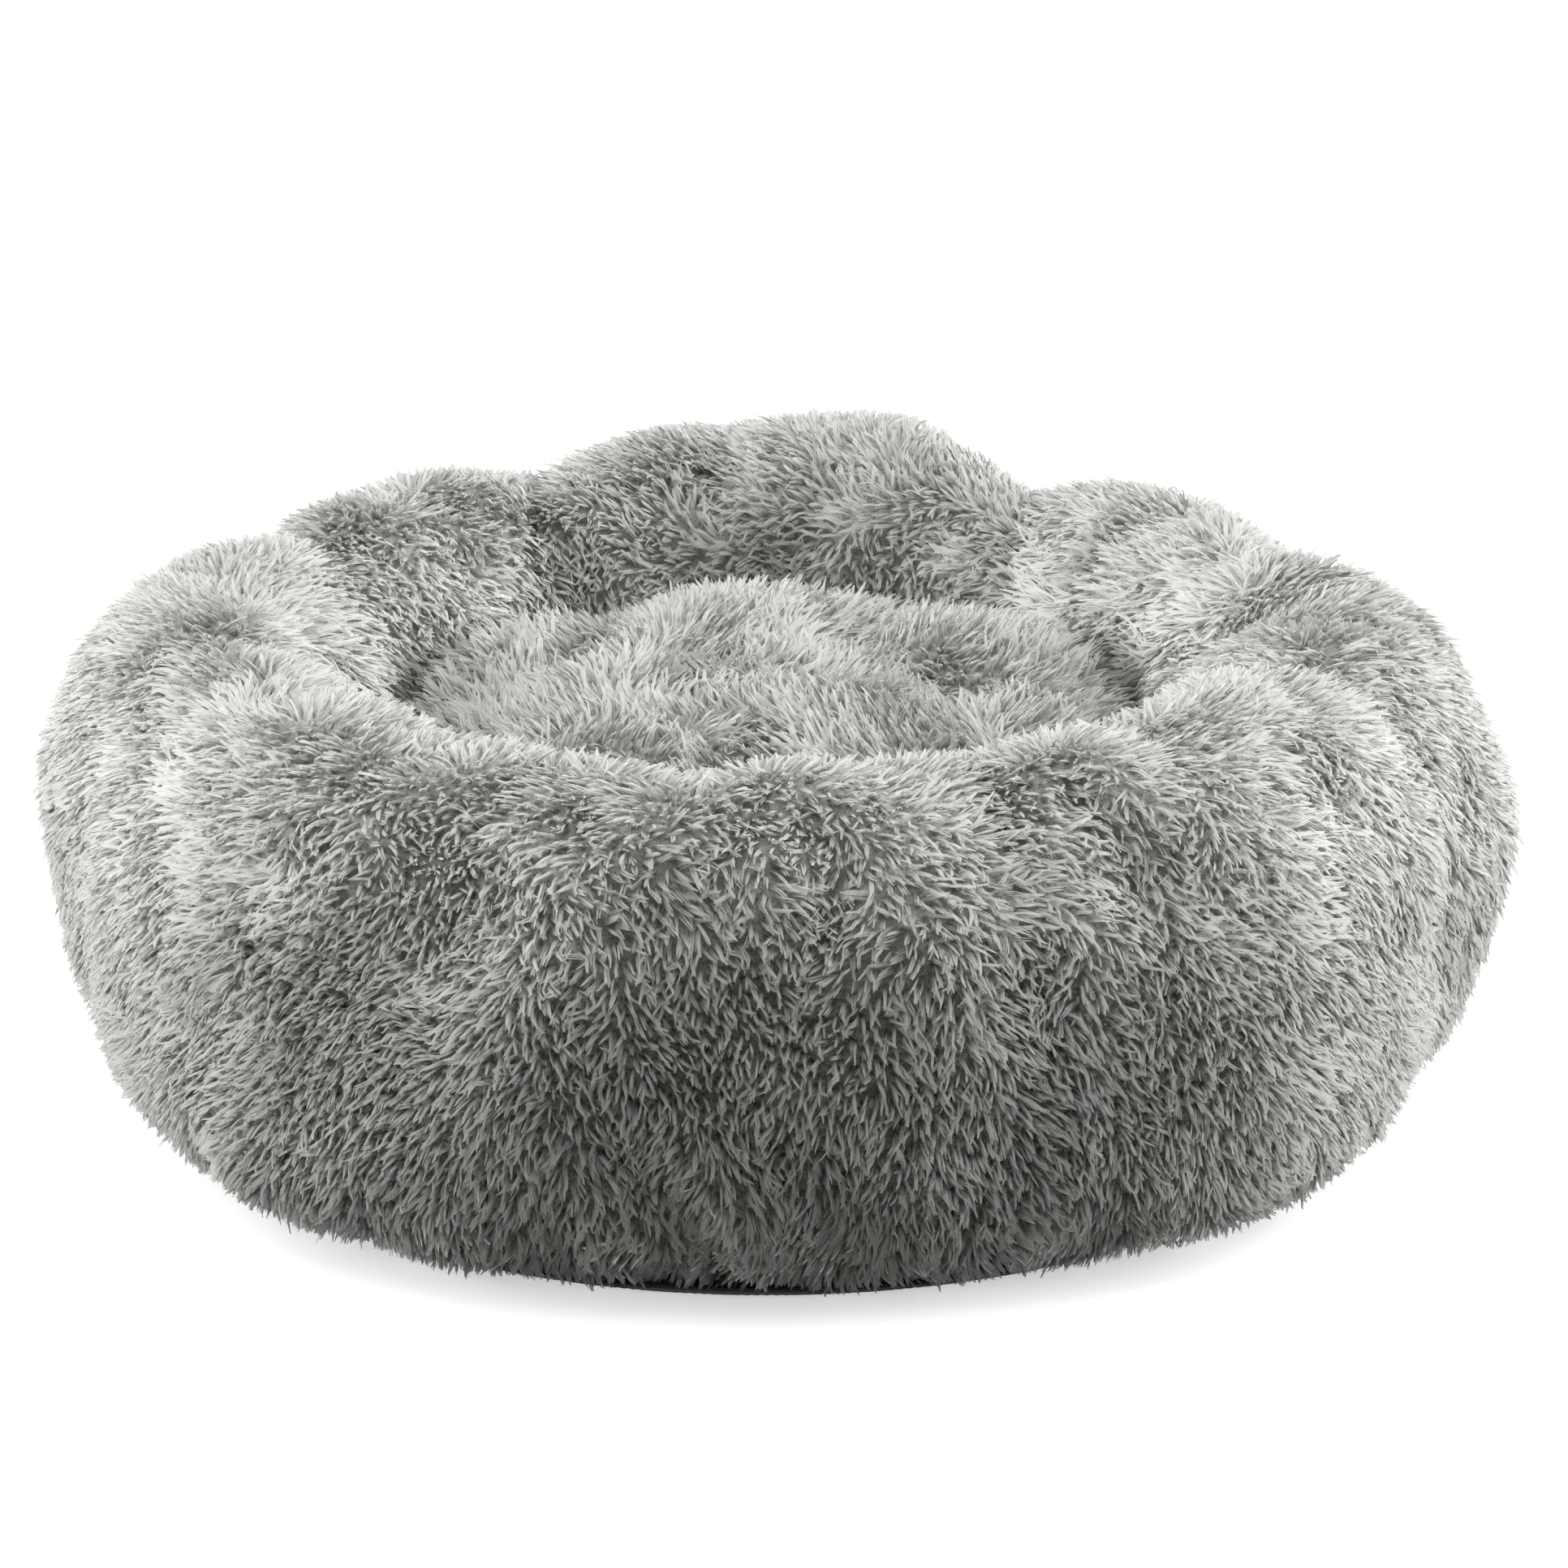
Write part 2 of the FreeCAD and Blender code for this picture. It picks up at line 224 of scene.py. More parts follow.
@dataclass(frozen=True)
class PileFinish:
    """Long fur, each strand its own tone: painted shade makes it dark at the root and painted light makes it
    pale at the tip.

    A strand's place across the map is its tone, and its place up the map is root to tip.
    """

    name: str = "pile"
    # The two root colours are painted shade, for the shadow deep among the strands; the tip colour is painted
    # light.
    painted_root_shade: Colour = grey(0.10, 0.06)
    root: Colour = grey(0.32, 0.045)
    body: Colour = grey(0.78, 0.035)
    tip: Colour = grey(0.89, 0.03)
    glow: float = 0.35
    tone_low: float = 0.82
    tone_span: float = 0.22

    def material(self) -> bpy.types.Material:
        """Make the material."""
        shader = Shader(self.name)
        spot = shader.node("ShaderNodeUVMap", {"uv_map": UV_MAP})
        tone, rise, _ = shader.along(spot)
        # Painted shade at the root, rising to painted light at the tip.
        stops = [(0.0, self.painted_root_shade), (0.3, self.root), (0.6, self.body), (0.95, self.tip)]
        hue_with_painted_shade = shader.node("ShaderNodeValToRGB", {"stops": stops}, {0: rise})
        shade = self.tone_low + tone * self.tone_span
        level = shader.node("ShaderNodeCombineColor", None, {0: shade, 1: shade, 2: shade})
        colour = shader.mix(1.0, hue_with_painted_shade, level, "MULTIPLY")
        shader.dress(colour, 0.62 - rise * 0.12, Specular_IOR_Level=0.35, Sheen_Weight=0.25,
                     Sheen_Roughness=0.5)
        shader.let_through(self.body, self.glow)
        return shader.material


@dataclass(frozen=True)
class KnitFinish:
    """The knitted ground that the pile grows from, fuzzed over by short fibre."""

    name: str = "pile_ground"
    low: Colour = grey(0.40, 0.05)
    high: Colour = grey(0.62, 0.05)

    def material(self) -> bpy.types.Material:
        """Make the material."""
        shader = Shader(self.name)
        fibre = shader.noise(1.6 * MM, 4.0)
        patch = shader.noise(14.0 * MM, 2.0)
        shader.dress(shader.mix(fibre * 0.7 + patch * 0.3, self.low, self.high), 0.9,
                     Specular_IOR_Level=0.2, Sheen_Weight=0.3)
        shader.bump(fibre, 1.2 * MM)
        return shader.material


@dataclass(frozen=True)
class WaddingFinish:
    """Loose polyester fibre, white with soft shadows between its curls."""

    name: str = "wadding"

    def material(self) -> bpy.types.Material:
        """Make the material."""
        shader = Shader(self.name)
        curl = shader.noise(5.0 * MM, 6.0)
        shader.dress(shader.mix(curl, grey(0.66, 0.03), grey(0.93, 0.02)), 0.95,
                     Specular_IOR_Level=0.15, Sheen_Weight=0.4)
        shader.bump(curl, 2.5 * MM)
        return shader.material


@dataclass(frozen=True)
class WeaveFinish:
    """Plain woven cloth."""

    name: str
    colour: Colour
    pitch: float = 0.9 * MM
    relief: float = 0.25 * MM
    roughness: float = 0.85
    slant: tuple[float, float] = (0.37, 0.93)
    shadow: float = 0.62

    def material(self) -> bpy.types.Material:
        """Make the material."""
        shader = Shader(self.name)
        across, along, up = shader.along(shader.place())
        turn = 2.0 * math.pi / self.pitch
        warp = ((across + up * self.slant[0]) * turn).sine()
        weft = ((along + up * self.slant[1]) * turn).sine()
        thread = 0.5 + warp * weft * 0.5
        slub = shader.noise(7.0 * MM, 4.0)
        shader.dress(shader.mix(thread * 0.65 + slub * 0.35, darker(self.colour, self.shadow), self.colour),
                     self.roughness, Specular_IOR_Level=0.25, Sheen_Weight=0.15)
        shader.bump(thread, self.relief)
        return shader.material


@dataclass(frozen=True)
class TapeFinish:
    """Ribbed tape: ribs on rings round the bed's axis, or along the zip."""

    name: str
    colour: Colour
    pitch: float = 1.1 * MM
    straight: bool = False
    shadow: float = 0.55

    def material(self) -> bpy.types.Material:
        """Make the material."""
        shader = Shader(self.name)
        across, along, _ = shader.along(shader.place())
        reach = across if self.straight else (across * across + along * along) ** 0.5
        rib = 0.5 + (reach * (2.0 * math.pi / self.pitch)).sine() * 0.5
        fibre = shader.noise(0.8 * MM, 3.0)
        shader.dress(shader.mix(rib * 0.7 + fibre * 0.3, darker(self.colour, self.shadow), self.colour), 0.8,
                     Specular_IOR_Level=0.3)
        shader.bump(rib, 0.2 * MM)
        return shader.material


@dataclass(frozen=True)
class MouldedFinish:
    """Plain moulded, dipped or painted stuff: small bumps, with dust or wear in patches."""

    name: str
    colour: Colour
    roughness: float
    grain: float = 0.4 * MM
    relief: float = 0.03 * MM
    metallic: float = 0.0
    wear: float = 0.25

    def material(self) -> bpy.types.Material:
        """Make the material."""
        shader = Shader(self.name)
        fine = shader.noise(self.grain, 2.0)
        patch = shader.noise(6.0 * MM, 4.0)
        pale = tuple(min(1.0, part * (1.0 + self.wear) + 0.01) for part in self.colour[:3]) + (1.0,)
        shader.dress(shader.mix(patch, self.colour, pale), self.roughness - 0.1 + patch * 0.2,
                     Metallic=self.metallic)
        shader.bump(fine, self.relief)
        return shader.material


class Finish(Enum):
    """Every finish on the bed."""

    PILE = PileFinish()
    # The cushion's root colours are painted shade too, lighter than the rim's.
    CUSHION_PILE = PileFinish("cushion_pile", grey(0.44, 0.05), grey(0.66, 0.04), grey(0.76, 0.035),
                              grey(0.86, 0.03))
    GROUND = KnitFinish()
    WADDING = WaddingFinish()
    LINING = WeaveFinish("lining", grey(0.40, 0.02))
    BASE = WeaveFinish("base_weave", grey(0.075, -0.06), 1.3 * MM, 0.35 * MM, 0.7)
    BINDING = TapeFinish("binding", grey(0.17, 0.0))
    ZIP_TAPE = TapeFinish("zip_weave", grey(0.12, 0.0), 0.9 * MM, True)
    THREAD = MouldedFinish("thread", grey(0.22), 0.8, 0.3 * MM, 0.05 * MM)
    RUBBER = MouldedFinish("grip_rubber", grey(0.035), 0.75, wear=0.6)
    NYLON = MouldedFinish("zip_nylon", grey(0.10), 0.5)
    PAINT = MouldedFinish("zip_paint", grey(0.30), 0.38, 0.6 * MM, 0.01 * MM, 0.6, 0.3)
    SATIN = WeaveFinish("label_satin", grey(0.80, 0.02), 0.35 * MM, 0.05 * MM, 0.42)

    def material(self) -> bpy.types.Material:
        """Give the finish's material, made on its first use."""
        return bpy.data.materials.get(self.value.name) or self.value.material()


def unit(vectors: Array) -> Array:
    """Scale vectors to length 1 along the last axis."""
    return vectors / np.maximum(np.linalg.norm(vectors, axis=-1, keepdims=True), 1e-12)


def ripple(points: Array, size: float, seed: int, waves: int = 14) -> Array:
    """Give smooth noise at points, about -1 to 1.

    Args:
        points: places, with three numbers on the last axis.
        size: the width of its features, in metres.
        seed: which noise it is.
        waves: how many sine waves it adds.

    Returns:
        One value for each point.
    """
    rng = np.random.default_rng(seed)
    heading = unit(rng.normal(size=(waves, 3))) * (2.0 * np.pi / size) * rng.uniform(0.5, 1.3, (waves, 1))
    phase = rng.uniform(0.0, 2.0 * np.pi, waves)
    return np.sin(points @ heading.T + phase).sum(axis=-1) / math.sqrt(waves)


@dataclass(frozen=True)
class Noise:
    """Smooth noise: the width of its features in metres, which noise it is, and how strong."""

    size: float
    seed: int
    strength: float = 1.0

    def at(self, points: Array) -> Array:
        """Read the noise at points."""
        return self.strength * ripple(points, self.size, self.seed)


def huddle(points: Array, first: Array, second: Array, size: float, seed: int) -> Array:
    """Give the way that tufts lean together, which parts the pile between them.

    Args:
        points: (n, 3) roots.
        first: (n, 3) one direction along the skin.
        second: (n, 3) the other.
        size: the width of a huddle.
        seed: picks the pattern.

    Returns:
        (n, 3) leans along the skin, about 1 long where they are strongest.
    """
    step = size / 8.0
    here = ripple(points, size, seed)
    lean = [axis * (ripple(points + axis * step, size, seed) - here)[:, None] for axis in (first, second)]
    return (lean[0] + lean[1]) * (size / step / 2.0 / np.pi)


def hill(points: Array, centre: tuple[float, float], reach: float) -> Array:
    """Give a round bump over a place in plan, 1 at its centre."""
    gap = (points[..., :2] - np.array(centre)) / reach
    return np.exp(-(gap * gap).sum(axis=-1))


def add_object(name: str, mesh: bpy.types.Mesh, finish: Finish | None = None) -> bpy.types.Object:
    """Link a new object to the scene, with one finish if given."""
    piece = bpy.data.objects.new(name, mesh)
    bpy.context.scene.collection.objects.link(piece)
    if finish:
        mesh.materials.append(finish.material())
    return piece


def quad_mesh(name: str, points: Array, quads: Array, places: Array | None = None) -> bpy.types.Mesh:
    """Build a smooth mesh of four-sided faces.

    Args:
        name: the mesh's name.
        points: (n, 3) corner places.
        quads: (m, 4) corner numbers.
        places: (n, 2) places on the bake map, or None for no map.

    Returns:
        The mesh.
    """
    mesh = bpy.data.meshes.new(name)
    mesh.vertices.add(len(points))
    mesh.vertices.foreach_set("co", np.ascontiguousarray(points, dtype=np.float32).ravel())
    mesh.loops.add(quads.size)
    mesh.loops.foreach_set("vertex_index", quads.ravel().astype(np.int32))
    mesh.polygons.add(len(quads))
    mesh.polygons.foreach_set("loop_start", np.arange(len(quads), dtype=np.int32) * 4)
    mesh.update(calc_edges=True)
    mesh.polygons.foreach_set("use_smooth", np.ones(len(quads), dtype=bool))
    if places is not None:
        layer = mesh.uv_layers.new(name=UV_MAP)
        layer.uv.foreach_set("vector", places[quads.ravel()].astype(np.float32).ravel())
    mesh.validate()
    return mesh


def cut_piece(name: str, places: Array, quads: Array, finish: Finish) -> bpy.types.Object:
    """Add an object of smooth four-sided faces, from places with three numbers on the last axis."""
    return add_object(name, quad_mesh(name, places.reshape(-1, 3), quads), finish)


def round_about(radius: Array | float, bearing: Array, height: Array | float) -> Array:
    """Give the places at radii, bearings in radians and heights, shaped as these broadcast together."""
    return np.stack(np.broadcast_arrays(radius * np.sin(bearing), radius * np.cos(bearing), height), axis=-1)


def grid_quads(columns: int, rows: int, closed: bool) -> Array:
    """Number the faces of a grid of columns and rows, facing out of the bed.

    Args:
        columns: points from first to last column.
        rows: points up one column.
        closed: whether the last column joins the first.

    Returns:
        (m, 4) corner numbers.
    """
    left = np.arange(columns if closed else columns - 1)[:, None]
    right = (left + 1) % columns
    low = np.arange(rows - 1)[None, :]
    corners = [left * rows + low, left * rows + low + 1, right * rows + low + 1, right * rows + low]
    return np.stack(corners, axis=-1).reshape(-1, 4)


@dataclass(frozen=True)
class Inflation:
    """How a cloth skin is blown up against its seams."""

    pressure: float = 4.0
    steps: int = 20
    slack: float = -0.05
    cap: float = 5.0 * MM
    stiffness: float = 14.0
    bending: float = 0.35
    quality: int = 6
    mass: float = 0.3

    def blow(self, skin: Array, held: Array, ease: Array, closed: bool) -> Array:
        """Simulate the skin.

        Args:
            skin: (columns, rows, 3) places at the start.
            held: (columns, rows) share by which each point is pinned.
            ease: (columns, rows) share of its movement that each point keeps.
            closed: whether the last column joins the first.

        Returns:
            The places at the end, each nearer than the cap to where it began.
        """
        columns, rows, _ = skin.shape
        mesh = quad_mesh("blown", skin.reshape(-1, 3), grid_quads(columns, rows, closed))
        body = add_object("blown", mesh)
        group = body.vertex_groups.new(name="held")
        for share in np.unique(held[held > 0.0]):
            group.add(np.flatnonzero(held.ravel() == share).tolist(), float(share), "REPLACE")
        cloth = body.modifiers.new("Cloth", "CLOTH")
        rules = cloth.settings
        rules.quality = self.quality
        rules.mass = self.mass
        rules.tension_stiffness = self.stiffness
        rules.compression_stiffness = self.stiffness
        rules.shear_stiffness = self.stiffness / 2.0
        rules.bending_stiffness = self.bending
        rules.use_pressure = True
        rules.uniform_pressure_force = self.pressure
        rules.shrink_min = self.slack
        rules.vertex_group_mass = "held"
        rules.effector_weights.gravity = 0.0
        cloth.collision_settings.use_collision = False
        cloth.point_cache.frame_start = 1
        cloth.point_cache.frame_end = self.steps
        for step in range(1, self.steps + 1):
            bpy.context.scene.frame_set(step)
        graph = bpy.context.evaluated_depsgraph_get()
        final = body.evaluated_get(graph).to_mesh()
        places = np.empty(len(final.vertices) * 3, dtype=np.float32)
        final.vertices.foreach_get("co", places)
        body.evaluated_get(graph).to_mesh_clear()
        bpy.data.objects.remove(body)
        bpy.context.scene.frame_set(1)
        move = places.reshape(columns, rows, 3) - skin
        far = np.linalg.norm(move, axis=-1, keepdims=True)
        return skin + move * ease[..., None] * (np.tanh(far / self.cap) * self.cap / np.maximum(far, 1e-9))


class Patch:
    """A four-sided stretch of skin that fur can be sown on."""

    def __init__(self, skin: Array) -> None:
        """Measure the skin, given as (columns, rows, 3) places."""
        self.skin = skin
        self.across = unit(np.gradient(skin, axis=0))
        self.upward = unit(np.gradient(skin, axis=1))
        self.outward = unit(np.cross(self.upward, self.across))
        steps = np.linalg.norm(np.diff(skin, axis=1), axis=-1).mean(axis=0)
        self.rise = np.concatenate([[0.0], np.cumsum(steps)])
        self.widths = np.linalg.norm(np.diff(skin, axis=0), axis=-1).sum(axis=0)

    def sow(self, spacing: float, sparse: Array, rng: np.random.Generator) -> tuple[Array, Array]:
        """Scatter tufts evenly.

        Args:
            spacing: the mean gap between tufts.
            sparse: (rows,) how much wider the gap is along each row.
            rng: the source of chance.

        Returns:
            Each tuft's column and row on the skin, as fractions of a step.
        """
        columns, rows, _ = self.skin.shape
        steps = np.arange(rows)
        all_columns = []
        all_rows = []
        start = 0.0
        while start < self.rise[-1]:
            wide = spacing * float(np.interp(start, self.rise, sparse))
            row = np.interp(start + wide / 2.0, self.rise, steps)
            number = max(1, round(float(np.interp(row, steps, self.widths)) / wide))
            share = (np.arange(number) + rng.uniform(0.0, 1.0, number)) / number
            all_columns.append(share * (columns - 1))
            all_rows.append(np.interp(start + wide * rng.uniform(0.0, 1.0, number), self.rise, steps))
            start += wide
        return np.concatenate(all_columns), np.concatenate(all_rows)

    def read(self, field: Array, column: Array, row: Array) -> Array:
        """Read a field of the skin between its points."""
        columns, rows = field.shape[:2]
        left = np.clip(column.astype(int), 0, columns - 2)
        low = np.clip(row.astype(int), 0, rows - 2)
        across = (column - left)[:, None]
        up = (row - low)[:, None]
        bottom = field[left, low] * (1.0 - across) + field[left + 1, low] * across
        top = field[left, low + 1] * (1.0 - across) + field[left + 1, low + 1] * across
        return bottom * (1.0 - up) + top * up


@dataclass
class Strands:
    """Ribbons of fibre: their edge places, their shading normals and their places on the bake map.

    Each array is (strands, joints + 1, 2, ...), with the two edges of a ribbon on the third axis.
    """

    places: Array
    normals: Array
    spots: Array

    def mesh(self, name: str) -> bpy.types.Mesh:
        """Build one mesh of all the ribbons."""
        number, rings = self.places.shape[:2]
        first = (np.arange(number) * rings * 2)[:, None] + (np.arange(rings - 1) * 2)[None, :]
        quads = np.stack([first, first + 1, first + 3, first + 2], axis=-1).reshape(-1, 4)
        mesh = quad_mesh(name, self.places.reshape(-1, 3), quads, self.spots.reshape(-1, 2))
        mesh.normals_split_custom_set_from_vertices(self.normals.reshape(-1, 3).astype(np.float32))
        return mesh


@dataclass(frozen=True)
class Pile:
    """How a fur grows, in metres and degrees.

    A tuft is a pencil of fibres that lifts off the skin, then leans over the way it is combed.
    """

    spacing: float = 2.9 * MM
    length: float = 9.5 * MM
    length_vary: float = 0.14
    strands: int = 5
    joints: int = 3
    width: float = 0.80 * MM
    spread: float = 0.90 * MM
    gather: float = 0.45
    tip_spread: float = 0.25 * MM
    lift: float = 56.0
    lift_vary: float = 8.0
    tip_lift: float = 26.0
    stray: float = 24.0
    bend: float = 0.28
    softness: float = 0.90
    knee: float = 0.45
    crook: float = 0.58
    twist: float = 0.7
    taper: float = 0.62
    # Share of the painted root shade left out where a tuft's depth is 0.
    matted: float = 0.56
    reach: tuple[float, float] = (0.84, 1.04)
    scatter: float = 1.5 * MM

    def grow(self, roots: Array, outward: Array, flow: Array, scale: Array, raised: Array, depth: Array,
             floor: float, rng: np.random.Generator) -> Strands:
        """Grow a tuft of tapered strands from each root.

        Args:
            roots: (n, 3) places.
            outward: (n, 3) directions out of the skin.
            flow: (n, 3) directions along the skin that the fur is combed in.
            scale: (n,) length of each tuft, as a share of the pile's length.
            raised: (n,) degrees by which each tuft stands up more.
            depth: (n,) how clear each tuft stands of its neighbours, from 0 to 1, which also sets how much
                painted root shade it takes.
            floor: no strand goes below this height.
            rng: the source of chance.

        Returns:
            The strands.
        """
        number = len(roots)
        angle = np.radians(rng.normal(0.0, self.stray, number))[:, None]
        side = unit(np.cross(flow, outward))
        flow = unit(flow * np.cos(angle) + side * np.sin(angle))
        side = unit(np.cross(flow, outward))
        lift = np.radians(rng.normal(self.lift, self.lift_vary, number) + raised)[:, None]
        tip_lift = np.radians(rng.normal(self.tip_lift, self.lift_vary, number) + raised)[:, None]
        length = (self.length * scale * rng.normal(1.0, self.length_vary, number).clip(0.6, 1.4))[:, None]
        start = outward * np.sin(lift) + flow * np.cos(lift)
        end = outward * np.sin(tip_lift) + flow * np.cos(tip_lift)
        end = unit(end + side * rng.normal(0.0, self.bend, number)[:, None])
        knee = (start * length * self.knee)[:, None, None, :]
        far = knee + (end * length * self.crook)[:, None, None, :]

        shape = (number, self.strands, 1, 1)
        along = np.linspace(0.0, 1.0, self.joints + 1)
        reach = rng.uniform(*self.reach, shape)
        place = along[None, None, :, None] * reach
        spine = 2.0 * place * (1.0 - place) * knee + place ** 2 * far
        turn = rng.uniform(0.0, 2.0 * np.pi, shape)
        spread = np.sqrt(rng.uniform(0.05, 1.0, shape)) * self.spread
        across = flow[:, None, None, :] * np.cos(turn) + side[:, None, None, :] * np.sin(turn)
        tip = rng.normal(0.0, self.tip_spread, (number, self.strands, 1, 3))
        spread = spread * (1.1 - 0.40 * depth)[:, None, None, None]
        line = roots[:, None, None, :] + spine + across * spread * (1.0 - self.gather * place ** 2)
        line = line + tip * place
        line[..., 2] = np.maximum(line[..., 2], floor + rng.uniform(0.0, self.scatter, shape)[..., 0])

        out = outward[:, None, None, :]
        heading = unit(np.gradient(line, axis=2))
        flat = unit(np.cross(heading, out))
        twist = rng.normal(0.0, self.twist, shape)
        edge = flat * np.cos(twist) + np.cross(flat, heading) * np.sin(twist)
        face = np.cross(edge, heading)
        turned = np.sign((face * out).sum(axis=-1, keepdims=True).mean(axis=2, keepdims=True) + 1e-9)
        edge = edge * turned
        face = face * turned
        taper = 1.0 - self.taper * along ** 3
        half = (taper * self.width / 2.0)[None, None, :, None] * rng.uniform(0.8, 1.2, shape)
        places = np.stack([line - edge * half, line + edge * half], axis=3)
        normals = unit(out * self.softness + face * (1.0 - self.softness))
        normals = np.broadcast_to(normals[:, :, :, None, :], places.shape)

        tone = 0.5 * rng.beta(3.0, 3.0, (number, 1)) + 0.5 * rng.beta(2.0, 2.0, (number, self.strands))
        tone = np.clip(tone, 0.02, 0.98)
        tones = np.stack([tone - 0.01, tone + 0.01], axis=-1)[:, :, None, :]
        # Painted shade: the lower a tuft's depth, the further up the ramp its root starts, past the painted
        # dark root.
        skipped_root_shade = self.matted * (1.0 - depth)[:, None, None, None]
        rise = skipped_root_shade + (1.0 - skipped_root_shade) * along[None, None, :, None]
        spots = np.stack([np.broadcast_to(tones, places.shape[:4]),
                          np.broadcast_to(rise, places.shape[:4])], axis=-1)
        rings = self.joints + 1
        return Strands(places.reshape(-1, rings, 2, 3), normals.reshape(-1, rings, 2, 3),
                       spots.reshape(-1, rings, 2, 2))


@dataclass(frozen=True)
class Chamber:
    """What is particular to one chamber of the ring and the seam at its end.

    The whorl is where its pile parts, as shares of the way between its seams and over its arch. The
    seam's lean is how many degrees its outer and inner ends stand off its bearing.
    """

    seam: float
    lean: tuple[float, float] = (0.0, 0.0)
    draw: float = 1.0
    lift: float = 0.0
    swell: float = 0.0
    whorl: tuple[float, float] = (0.5, 0.5)
    parting: float = 1.0
    sweep: float = 0.0
    drag: float = 0.9
    raised: float = 0.0


@dataclass
class Rim:
    """The ring of stuffed chambers: ground cloth, fur, wadding and the cloth walls between."""

    radius: float = 0.300
    height: float = 0.200
    well: float = 0.143
    bulge: float = 0.098
    under_curve: float = 0.108
    foot_height: float = 2.5 * MM
    squat: float = 30.0 * MM
    draw_out: float = 15.0 * MM
    draw_in: float = 9.0 * MM
    draw_top: float = 18.0 * MM
    puff_power: float = 2.4
    ground: float = 10.0 * MM
    slack: float = 6.0 * MM
    columns: int = 26
    rows: int = 67
    tuck: float = 6.0 * MM
    parted: float = 0.44
    seam_blend: float = 0.35
    huddling: float = 0.55
    hidden_height: float = 0.115
    hidden_gap: float = 1.55
    fur_floor: float = 0.8 * MM
    lumps: tuple[Noise, Noise] = (Noise(0.11, 5, 2.2), Noise(0.05, 6, 1.2))
    swirls: tuple[Noise, Noise] = (Noise(0.10, 11, 0.40), Noise(0.035, 12, 0.55))
    uneven: Noise = Noise(0.06, 13, 0.07)
    ruffled: Noise = Noise(0.05, 14, 7.0)
    clumped: Noise = Noise(0.04, 15, 0.25)
    stuffed: Noise = Noise(0.04, 21, 0.3)
    puckered: Noise = Noise(0.03, 23, 0.6)
    chambers: tuple[Chamber, ...] = (
        Chamber(26.0, (-1.0, 14.0), 1.1, lift=9.0 * MM, swell=6.0 * MM, whorl=(0.64, 0.64), sweep=-0.7,
                drag=0.5),
        Chamber(68.0, (4.0, -3.0), 0.9, lift=-4.0 * MM, swell=5.0 * MM, whorl=(0.75, 0.45), sweep=-0.6,
                drag=0.8),
        Chamber(112.0, (0.0, 0.0), 0.45, swell=13.0 * MM, whorl=(0.3, 0.62), sweep=0.2, drag=0.9),
        Chamber(158.0, (3.0, 0.0), 0.25, lift=7.0 * MM, swell=4.0 * MM, whorl=(0.5, 0.66), parting=0.4,
                sweep=-0.3, drag=1.6),
        Chamber(204.0, (0.0, 0.0), 0.25, lift=6.0 * MM, whorl=(0.6, 0.66), parting=0.3, sweep=-0.2,
                drag=2.2),
        Chamber(250.0, (0.0, 3.0), 0.45, lift=5.0 * MM, swell=2.0 * MM, whorl=(0.60, 0.38), parting=0.3,
                sweep=0.1, drag=1.0, raised=9.0),
        Chamber(294.0, (9.0, -6.0), 0.8, lift=-2.0 * MM, swell=9.0 * MM, whorl=(0.5, 0.55), sweep=0.2,
                drag=0.8),
        Chamber(334.0, (6.0, -12.0), 1.0, lift=2.0 * MM, swell=7.0 * MM, whorl=(0.4, 0.50), sweep=-0.4,
                drag=0.7),
    )
    pile: Pile = Pile()
    inflation: Inflation = Inflation()

    def slack_at(self, share: Array) -> Array:
        """Give how far a chamber is drawn in at a share of the way from seam to seam, from 0 to 1."""
        return np.abs(2.0 * share - 1.0) ** self.puff_power

    def start_skin(self) -> Array:
        """Lay out the ground cloth before it is blown up, as (columns, rows, 3) places."""
        turn = np.linspace(0.0, 1.0, self.rows)[None, :]
        parts = []
        for number, chamber in enumerate(self.chambers):
            before = self.chambers[number - 1]
            share = np.arange(self.columns)[:, None] / self.columns
            slack = self.slack_at(share)
            full = 1.0 - slack
            draw = slack * np.where(share < 0.5, before.draw, chamber.draw)
            inset = self.ground + self.slack * full
            outer = self.radius + chamber.swell * full - self.draw_out * draw - inset
            inner = self.well + self.draw_in * draw + inset
            rise = self.height + chamber.lift * full - self.draw_top * draw - inset - self.bulge
            fall = self.under_curve - inset * 0.4
            foot = np.arcsin((self.bulge - self.foot_height) / fall)
            angle = -foot + (np.pi + 2.0 * foot) * turn
            radius = (outer + inner) / 2.0 + (outer - inner) / 2.0 * np.cos(angle)
            up = self.bulge + np.where(np.sin(angle) > 0.0, rise, fall) * np.sin(angle)
            inward = (1.0 - np.cos(angle)) / 2.0
            start = before.seam + before.lean[0] * (1.0 - inward) + before.lean[1] * inward
            end = chamber.seam + chamber.lean[0] * (1.0 - inward) + chamber.lean[1] * inward
            start = np.where(number == 0, start - 360.0, start)
            bearing = np.radians(start + (end - start) * share)
            under = np.clip((self.bulge - up) / (self.bulge - self.foot_height), 0.0, 1.0)
            spread = self.squat * np.sin(2.0 * bearing) ** 2 * under ** 2 * (1.0 - under ** 8)
            radius = radius + np.where(angle < np.pi / 2.0, spread, 0.0)
            parts.append(round_about(radius, bearing, up))
        return self.crumple(np.concatenate(parts))

    def crumple(self, skin: Array) -> Array:
        """Push soft lumps into the skin, fading out towards its feet."""
        lump = self.lumps[0].at(skin) * MM + self.lumps[1].at(skin) * MM
        fade = np.clip((skin[..., 2:] - self.foot_height) / 0.03, 0.0, 1.0)
        across = np.roll(skin, -1, axis=0) - np.roll(skin, 1, axis=0)
        outward = unit(np.cross(np.gradient(skin, axis=1), across))
        return skin + outward * lump[..., None] * fade

    def held(self) -> Array:
        """Give the share by which each point of the skin is pinned: seams and feet wholly."""
        pins = np.zeros((len(self.chambers) * self.columns, self.rows))
        pins[::self.columns] = 1.0
        pins[:, 0] = 1.0
        pins[:, -1] = 1.0
        return pins

